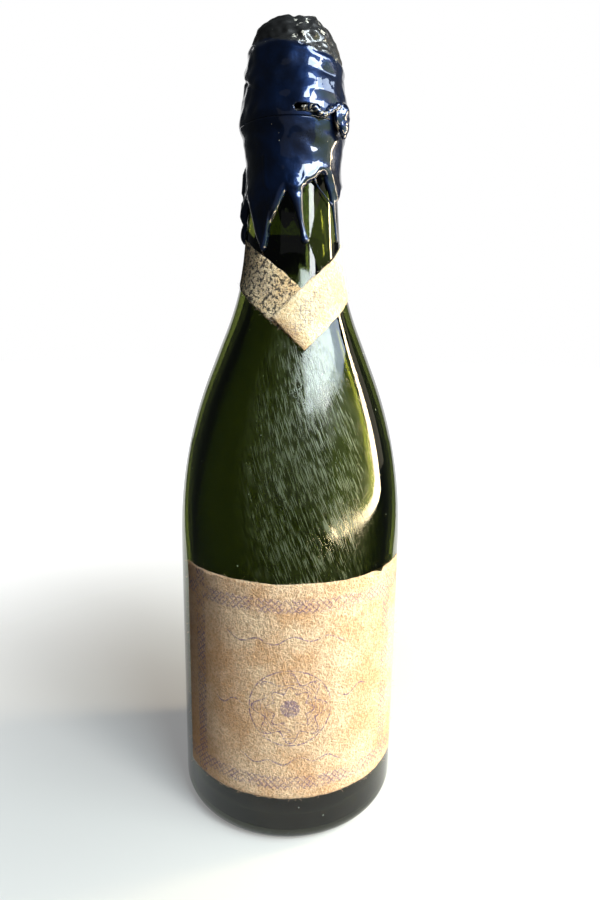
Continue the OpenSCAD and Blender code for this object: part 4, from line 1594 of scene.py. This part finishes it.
def twist(path: np.ndarray, wire: float, turns: float) -> list[Mesh]:
    """Twists two wires round a path.

    Args:
        path: the path.
        wire: the wires' diameter.
        turns: how many turns they make.

    Returns:
        The two wires.
    """
    tangent = np.gradient(path, axis=0)
    tangent /= np.linalg.norm(tangent, axis=1)[:, None]
    side = np.cross(tangent, np.where(np.abs(tangent[:, 2:]) < 0.9, [0, 0, 1.0], [0, 1.0, 0]))
    side /= np.linalg.norm(side, axis=1)[:, None]
    up = np.cross(side, tangent)
    angle = np.linspace(0, 2 * math.pi * turns, len(path))[:, None]
    radius = wire * 0.47           # a little under half, so that the wires press together
    offset = radius * (np.cos(angle) * side + np.sin(angle) * up)
    return [sweep(strand, wire * 0.5, 10) for strand in (path + offset, path - offset)]


def ball(centre: np.ndarray, axes: np.ndarray, radii: Sequence[float]) -> Mesh:
    """Makes an ellipsoid.

    Args:
        centre: its centre.
        axes: its axes' directions, as rows.
        radii: its radii along them.

    Returns:
        The points and the faces.
    """
    rows, columns, last = 15, 24, 82
    lat = np.radians(np.linspace(-last, last, rows))[:, None]
    lon = np.arange(columns)[None] * 2 * math.pi / columns
    unit = np.stack([np.cos(lat) * np.cos(lon), np.cos(lat) * np.sin(lon),
                     np.sin(lat) + 0 * lon], -1).reshape(-1, 3)
    ends = [tuple(range(columns))[::-1], tuple(range((rows - 1) * columns, rows * columns))]
    return centre + (unit * radii) @ axes, grid_faces(rows, columns, True) + ends


@dataclass
class WireCage(Closure):
    """The cage: a crown ring, four twisted legs and the belt with its eyelets."""

    leg_more: float = 1.35     # of the leg's middle, outside the cork's arch
    leg_low_r: float = 16.95
    leg_wire: float = 0.8
    crown_r: float = 9.5
    crown_z: float = 293.147
    belt_r: float = 15.786
    eyelet_r: float = 0.96
    eyelet_wire: float = 0.72
    legs: int = 4
    first_leg: float = 45.0    # its azimuth
    turns: int = 9

    def leg(self) -> np.ndarray:
        """Follows a leg's middle from the crown down to the collar, in the XZ plane.

        Returns:
            The points.
        """
        reach = self.arch_r + self.leg_more
        start = math.degrees(math.acos((self.crown_r - self.arch_centre) / reach))
        over = arc((self.arch_centre, self.head_z), reach, start, 0, 20)
        path = np.vstack([over, [[self.leg_low_r, self.waist_z], [self.leg_low_r, self.collar_z]]])
        flat = even_path(path, 160)
        return np.stack([flat[:, 0], 0 * flat[:, 0], flat[:, 1]], 1)

    @staticmethod
    def ring(centre: tuple[float, float, float], radius: float, wire: float, upright: bool) -> Mesh:
        """Makes a closed ring of wire.

        Args:
            centre: its centre.
            radius: its radius, to the wire's middle.
            wire: the wire's diameter.
            upright: whether it stands in the XZ plane rather than lying flat.

        Returns:
            The points and the faces.
        """
        rings, sides = 48 if upright else 128, 12
        a = (np.arange(rings) * 2 * math.pi / rings)[:, None]
        b = (np.arange(sides) * 2 * math.pi / sides)[None]
        away = radius + wire / 2 * np.cos(b)
        flat = [away * np.cos(a), away * np.sin(a), wire / 2 * np.sin(b) + 0 * a]
        points = np.stack([flat[0], flat[2], flat[1]] if upright else flat, -1).reshape(-1, 3)
        return points + centre, [tuple(v % len(points) for v in face)
                                 for face in grid_faces(rings + 1, sides, True)]

    def build(self, material: Material) -> None:
        """Makes the cage's frame and its belt.

        Args:
            material: the wire.
        """
        leg = make_mesh("leg_source", *join_parts(twist(self.leg(), self.leg_wire, self.turns)))
        eyelet = make_mesh("eyelet_source", *self.ring(
            (self.belt_r, 0, self.belt_z), self.eyelet_r, self.eyelet_wire, True))
        copies = CopiesRound()
        for name, centre, radius, wire, source, node in (
                ("wire_cage_frame", (0, 0, self.crown_z), self.crown_r, self.leg_wire, leg,
                 "cage_frame"),
                ("wire_cage_belt", (0, 0, self.belt_z), self.belt_r, self.belt_wire, eyelet,
                 "cage_belt")):
            obj = make_mesh(name, *self.ring(centre, radius, wire, False))
            copies.apply(obj, Source=source, Count=self.legs, Start=math.radians(self.first_leg),
                         Material=material)
            settle(tidy_mesh(obj, FINE_WELD), "hood", "cage_wire", material, node)
            bpy.data.objects.remove(source)


class NodeTool:
    """Geometry Nodes that are put on a mesh, given their inputs by name, and baked."""

    def __init__(self, name: str, **kinds: str) -> None:
        """Starts the node tree.

        Args:
            name: its name.
            kinds: the kind of each input's socket.
        """
        self.tree = bpy.data.node_groups.new(name, "GeometryNodeTree")
        face = self.tree.interface
        for way in ("OUTPUT", "INPUT"):
            face.new_socket("Geometry", in_out=way, socket_type="NodeSocketGeometry")
        self.sockets = {key: face.new_socket(key, in_out="INPUT", socket_type=f"NodeSocket{kind}"
                                             ).identifier for key, kind in kinds.items()}
        self.given = self.tree.nodes.new("NodeGroupInput").outputs

    def add(self, kind: str, out: int | str = 0, links: dict | None = None,
            **settings: str | bool) -> NodeSocket:
        """Adds a node to the tree, as add_node does."""
        return add_node(self.tree, kind, out, links, **settings)

    def end(self, geometry: NodeSocket) -> None:
        """Gives the result its material and ends the tree."""
        dressed = self.add("GeometryNodeSetMaterial", links={
            "Geometry": geometry, "Material": self.given["Material"]})
        self.add("NodeGroupOutput", links={0: dressed})

    def apply(self, obj: Object, **values: object) -> None:
        """Runs the nodes on a mesh for good.

        Args:
            obj: the object.
            values: the inputs' values.
        """
        nodes = obj.modifiers.new(self.tree.name, "NODES")
        nodes.node_group = self.tree
        for key, value in values.items():
            nodes[self.sockets[key]] = value
        bake(obj)


class CopiesRound(NodeTool):
    """Copies of an object round the Z axis, joined to the mesh that they are added to."""

    def __init__(self) -> None:
        """Builds the node tree."""
        super().__init__("copies_round_axis", Source="Object", Count="Int", Start="Float",
                         Material="Material")
        given, tree = self.given, self.tree
        line = self.add("GeometryNodeMeshLine", links={
            "Count": given["Count"], "Offset": (0, 0, 0)}, count_mode="TOTAL")
        index, count = Field(tree, self.add("GeometryNodeInputIndex")), Field(tree, given["Count"])
        angle = index.do("DIVIDE", count) * (2 * math.pi) + Field(tree, given["Start"])
        turned = self.add("ShaderNodeCombineXYZ", links={2: angle})
        source = self.add("GeometryNodeObjectInfo", "Geometry", {"Object": given["Source"]})
        copies = self.add("GeometryNodeInstanceOnPoints", links={
            "Points": line, "Instance": source, "Rotation": turned})
        joined = tree.nodes.new("GeometryNodeJoinGeometry")
        for part in (copies, given["Geometry"]):
            tree.links.new(part, joined.inputs[0])
        self.end(self.add("GeometryNodeRealizeInstances", links={0: joined.outputs[0]}))


class EdgeFibres(NodeTool):
    """Loose paper fibres, scattered along a line and leaning at random."""

    SPACING = 0.7
    THICKNESS = 0.035
    CURVE = {"Resolution": 4, "Start": (0, 0, 0), "Middle": (0.25, 0, 0.55), "End": (-0.15, 0.2, 1)}
    LEAN = (2.6, 2.6, 3.1)     # how far a fibre may be turned about each axis, in radians
    SHORTEST = 0.3             # as a share of the longest
    SHARE = 0.45               # of the places that have a fibre

    def __init__(self) -> None:
        """Builds the node tree."""
        super().__init__("edge_fibres", Spacing="Float", Length="Float", Thickness="Float",
                         Seed="Int", Material="Material")
        given = self.given
        line = self.add("GeometryNodeMeshToCurve", links={0: given["Geometry"]})
        points = self.add("GeometryNodeCurveToPoints", links={
            "Curve": line, "Length": given["Spacing"]}, mode="LENGTH")
        fibre = self.add("GeometryNodeCurveQuadraticBezier", links=self.CURVE)
        lean, chance, size = [
            self.add("FunctionNodeRandomValue", out, {**limits, "Seed": given["Seed"]},
                     data_type=kind) for out, kind, limits in (
                (0, "FLOAT_VECTOR", {"Min": [-a for a in self.LEAN], "Max": self.LEAN}),
                (3, "BOOLEAN", {"Probability": self.SHARE}),
                (1, "FLOAT", {2: self.SHORTEST, 3: 1.0}))]
        placed = self.add("GeometryNodeInstanceOnPoints", links={
            "Points": points, "Instance": fibre, "Rotation": lean, "Selection": chance,
            "Scale": Field(self.tree, size) * Field(self.tree, given["Length"])})
        real = self.add("GeometryNodeRealizeInstances", links={0: placed})
        ring = self.add("GeometryNodeCurvePrimitiveCircle", links={
            "Resolution": 3, "Radius": given["Thickness"]}, mode="RADIUS")
        self.end(self.add("GeometryNodeCurveToMesh", links={
            "Curve": real, "Profile Curve": ring, "Fill Caps": True}))

    def grow(self, name: str, line: np.ndarray, length: float, slot: str,
             material: Material, seed: int) -> None:
        """Grows fibres along a closed line.

        Args:
            name: the piece's name.
            line: the line's points, in millimetres.
            length: the longest fibre, in millimetres.
            slot: its material slot.
            material: its material.
            seed: the seed of the scatter.
        """
        obj = make_mesh(name, line, [], edges=[(k, (k + 1) % len(line)) for k in range(len(line))])
        self.apply(obj, Spacing=self.SPACING * MM, Length=length * MM,
                   Thickness=self.THICKNESS * MM, Seed=seed, Material=material)
        settle(obj, "bottle", slot, material)


# Studio

@dataclass
class Studio:
    """The camera, the pale floor and backdrop, and the window that lights the bottle."""

    camera_y: float = -0.2444
    camera_z: float = 0.194
    lens: float = 24.85
    pitch: float = 0.2025      # of the camera, downwards, in radians
    yaw: float = 0.0147
    roll: float = 0.0125
    reach: float = 0.9         # of the window from the bottle, in metres
    near_reach: float = 0.38   # of the pale edge
    view_half: float = 0.483   # half the camera's view, across, for each unit of distance
    painted_shade_glow: float = 0.24   # the floor's glow beside the bottle, dimmed there as a painted shade round its foot
    shadow: tuple[float, float] = (70, 420)   # distances over which the table's painted shade fades and it turns white
    room: str = "#8f979c"      # the colour of the room round the studio
    world_glow: float = 0.35
    room_glow: float = 0.15    # of the dark cards
    flag_end: float = 146.0    # azimuth where the dark cards stop, behind the bottle
    flag_reach: float = 1.3    # of the dark cards, in metres
    card_z: float = 200.0      # height of the middle of the cards' sphere, in millimetres
    far: float = 3000.0        # half the table's side, in millimetres
    # The window: one bright opening, and dimmer panes on both of its sides
    panes: tuple[tuple, ...] = (
        ("window_opening", (40, 53), (14.5, 40), "#f4f8fb", 27.0),
        ("window_left", (18, 40), (24, 42), "#e6f3f8", 21.0),
        ("window_right", (53, 72), (26, 40), "#e2f3fa", 13.0),
        ("window_far", (72, 98), (24, 36), "#c4d4ea", 12.0),
        ("room_right", (53, 118), (-6, 20.6), "#b4ae9a", 1.7),
        ("room_fill", (-30, 36), (-6, 20), "#c8ccd0", 0.3))
    # The edge of something pale beside the bottle: azimuths and elevations of its two sides
    pale_inner: tuple[tuple[float, float], ...] = (
        (37.4, -19.6), (51.9, -19.3), (65.2, -18.7), (80.5, -17.1), (89.2, -14.9), (93.5, -11.7),
        (94.3, -4.5), (95.9, 1.9), (97.2, 10.6), (98.2, 17.6), (99.5, 21.6), (104, 25))
    pale_outer: tuple[tuple[float, float], ...] = (
        (36.2, -23.1), (51.8, -22.9), (67.8, -21.7), (83.3, -20.4), (97, -17.9), (101.8, -15.6),
        (103, -7.7), (104, -1.5), (104, 6.3), (104.5, 14.2), (105, 19.5), (108, 23))

    def camera(self) -> None:
        """Places the camera that took the photograph."""
        forward = Vector((math.sin(self.yaw) * math.cos(self.pitch),
                          math.cos(self.yaw) * math.cos(self.pitch), -math.sin(self.pitch)))
        right = forward.cross(Vector((0, 0, 1))).normalized()
        up = right.cross(forward)
        turned = [right * math.cos(self.roll) + up * math.sin(self.roll),
                  up * math.cos(self.roll) - right * math.sin(self.roll), -forward]
        data = bpy.data.cameras.new("camera")
        data.lens, data.sensor_width, data.sensor_fit = self.lens, 36, "AUTO"
        data.clip_start, data.clip_end = 0.01, 20
        obj = bpy.data.objects.new("camera", data)
        rotation = Matrix([[v[k] for v in turned] for k in range(3)]).to_4x4()
        obj.matrix_world = Matrix.Translation((0, self.camera_y, self.camera_z)) @ rotation
        bpy.context.scene.collection.objects.link(obj)
        bpy.context.scene.camera = obj

    def glow(self, name: str, colour: str, strength: float, camera_only: bool = False) -> Material:
        """Makes an even glow.

        Args:
            name: the material's name.
            colour: its colour.
            strength: its strength.
            camera_only: whether it shows, also in gloss and through glass, but lights nothing.

        Returns:
            The material.
        """
        material = bpy.data.materials.new(name)
        material.use_nodes = True
        tree = material.node_tree
        tree.nodes.clear()
        shown = self.shown(tree) * strength if camera_only else strength
        light = add_node(tree, "ShaderNodeEmission", links={0: linear(colour), 1: shown})
        add_node(tree, "ShaderNodeOutputMaterial", links={0: light})
        return material

    @staticmethod
    def shown(tree: NodeTree) -> Field:
        """Is 1 for rays that show the background: the camera's, reflected and refracted ones."""
        rays = [Field(tree, add_node(tree, "ShaderNodeLightPath", f"Is {kind} Ray"))
                for kind in ("Camera", "Glossy", "Transmission")]
        return (rays[0] + rays[1]).do("ADD", rays[2], clamp=True)

    def patch(self, name: str, corners: Sequence[Sequence[tuple[float, float]]],
              material: Material, reach: float) -> None:
        """Hangs a card on a sphere round the bottle, out of the camera's sight.

        Args:
            name: its name.
            corners: azimuth and elevation along its lower and its upper edge.
            material: its material.
            reach: its distance from the bottle, in metres.
        """
        rows = [around(np.cos(np.radians(e)), a, np.sin(np.radians(e)))
                for a, e in (np.array(edge, float).T for edge in corners)]
        points = np.vstack(rows) * reach / MM + [0, 0, self.card_z]
        obj = make_mesh(name, points, grid_faces(len(rows), len(rows[0]), False))
        self.card(obj, material)

    @staticmethod
    def card(obj: Object, material: Material) -> None:
        """Makes a mesh a card of the studio, which the camera doesn't see.

        Args:
            obj: the mesh.
            material: its material.
        """
        obj.data.materials.append(material)
        obj.visible_camera = False
        obj.visible_shadow = False

    @staticmethod
    def span(azimuths: tuple[float, float], elevations: Sequence[float]
             ) -> list[list[tuple[float, float]]]:
        """Lists the azimuths and elevations of a card's rows, between two azimuths."""
        across = np.linspace(*azimuths, 24)
        return [[(a, e) for a in across] for e in elevations]

    def ground(self) -> None:
        """Lays the table and the backdrop: the backdrop white where it is seen, the table white
        away from the bottle and dimmed round its foot by a painted shade of weaker glow.
        """
        paper = Finish("white_table", Roughness=0.8, Specular_IOR_Level=0.1)
        paper.feed("Base Color", paper.blend(paper.noise(400, 2) * 0.4, "#b0b0ae", "#b5b5b3"))
        paper.shader.inputs["Emission Color"].default_value = (1, 1, 1, 1)
        x, y = paper.axis(0), paper.axis(1)
        # The floor glows less near the bottle: a painted shade round its foot, which also darkens
        # the foot's reflection of the floor
        away = (x * x + y * y).do("SQRT").step(*self.shadow)
        paper.feed("Emission Strength",
                   self.shown(paper.tree) * (away * (1 - self.painted_shade_glow) + self.painted_shade_glow))
        far = self.far
        floor = make_mesh("floor", [(-far, -far, 0), (far, -far, 0), (far, far, 0), (-far, far, 0)],
                          [(0, 1, 2, 3)])
        floor.data.materials.append(paper.material)
        ring = [around(far, np.arange(96) * 3.75, z) for z in (-5, far)]
        wall = make_mesh("backdrop", np.vstack(ring), grid_faces(2, 96, True))
        wall.data.materials.append(self.glow("white_backdrop", "#ffffff", 1.0, True))

    def flags(self) -> None:
        """Sets dark cards where the camera doesn't look, so that the glass reflects a dim room."""
        dim, end = self.glow("black_card", self.room, self.room_glow), self.flag_end
        for name, azimuths, rows in (("dark_surround", (-end, end), (-9, 8, 25, 42, 60)),
                                     ("upper_card", (end, 360 - end), (35, 48, 60))):
            self.patch(name, self.span(azimuths, rows), dim, self.flag_reach)
        near, far, side = -78.0, 1400.0, self.far
        edge = [(self.view_half * (y - self.camera_y / MM) + 25) for y in (near, far)]
        for name, corners in (
                ("front_card", [(-side, -side), (side, -side), (side, near), (-side, near)]),
                ("left_card", [(-side, near), (-edge[0], near), (-edge[1], far), (-side, far)]),
                ("right_card", [(edge[0], near), (side, near), (side, far), (edge[1], far)])):
            self.card(make_mesh(name, [(x, y, 0.5) for x, y in corners], [(0, 1, 2, 3)]), dim)

    def build(self) -> None:
        """Makes everything."""
        self.camera()
        scene = bpy.context.scene
        scene.view_settings.view_transform = "Standard"
        world = bpy.data.worlds.new("room")
        scene.world = world
        world.use_nodes = True
        background = world.node_tree.nodes["Background"]
        background.inputs[0].default_value = linear(self.room)
        background.inputs[1].default_value = self.world_glow
        self.ground()
        self.flags()
        inside = self.near_reach + 0.01
        space = (self.pale_inner[:11], [(38.5, 8 + k) for k in range(11)])
        for name, rows, colour, strength, reach in (
                *[(name, self.span(azimuths, elevations), colour, strength, self.reach)
                  for name, azimuths, elevations, colour, strength in self.panes],
                ("upper_pane", self.span((22, 74), (27.6, 35)), "#e6f5fa", 30.0, inside),
                ("pale_edge", (self.pale_inner, self.pale_outer), "#e8d2ac", 50.0,
                 self.near_reach),
                ("framed_space", space, "#7f9152", 3.0, inside)):
            self.patch(name, rows, self.glow(name, colour, strength), reach)


def main() -> None:
    """Dresses the whole bottle."""
    logging.basicConfig(level=logging.INFO, format="%(name)s: %(message)s")
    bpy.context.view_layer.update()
    Studio().build()
    shape = BottleShape()
    GlassBody(shape).build()
    settle_cad("wine", make_wine())
    fibres = EdgeFibres()
    label, label_edge = FrontLabel(shape).build()
    fibres.grow("label_fibres", label_edge, 2.2, "label_paper", label.data.materials[0], 5)
    band, band_edge = NeckBand(shape).build()
    fibres.grow("band_fibres", band_edge, 1.6, "band_paper", band.data.materials[0], 6)
    hood = WaxHood()
    wax = SealingWax().make(hood.crust_z, hood.crust_tilt)
    WaxSkirt(shape).build(wax)
    hood.build(wax)
    wire = Metal.CAGE_WIRE.make()
    ear = Ear()
    ear.build_wire(wire)
    ear.build_wax(wax)
    WireCage().build(wire)
    settle_cad("cap_plate", Metal.CAP_LACQUER.make())
    settle_cad("cork_body", Cork.AGGLOMERATE_CORK.make())
    natural = Cork.NATURAL_CORK.make()
    for node in ("cork_disc_upper", "cork_disc_lower"):
        settle_cad(node, natural)


def settle_cad(node: str, material: Material) -> None:
    """Gives a CAD node that stays its material.

    Args:
        node: the node.
        material: its material.
    """
    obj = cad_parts[node]
    obj.data.materials.clear()
    obj.data.materials.append(material)
    log.info("%s: kept as packed", node)


if __name__ == "__main__":
    main()
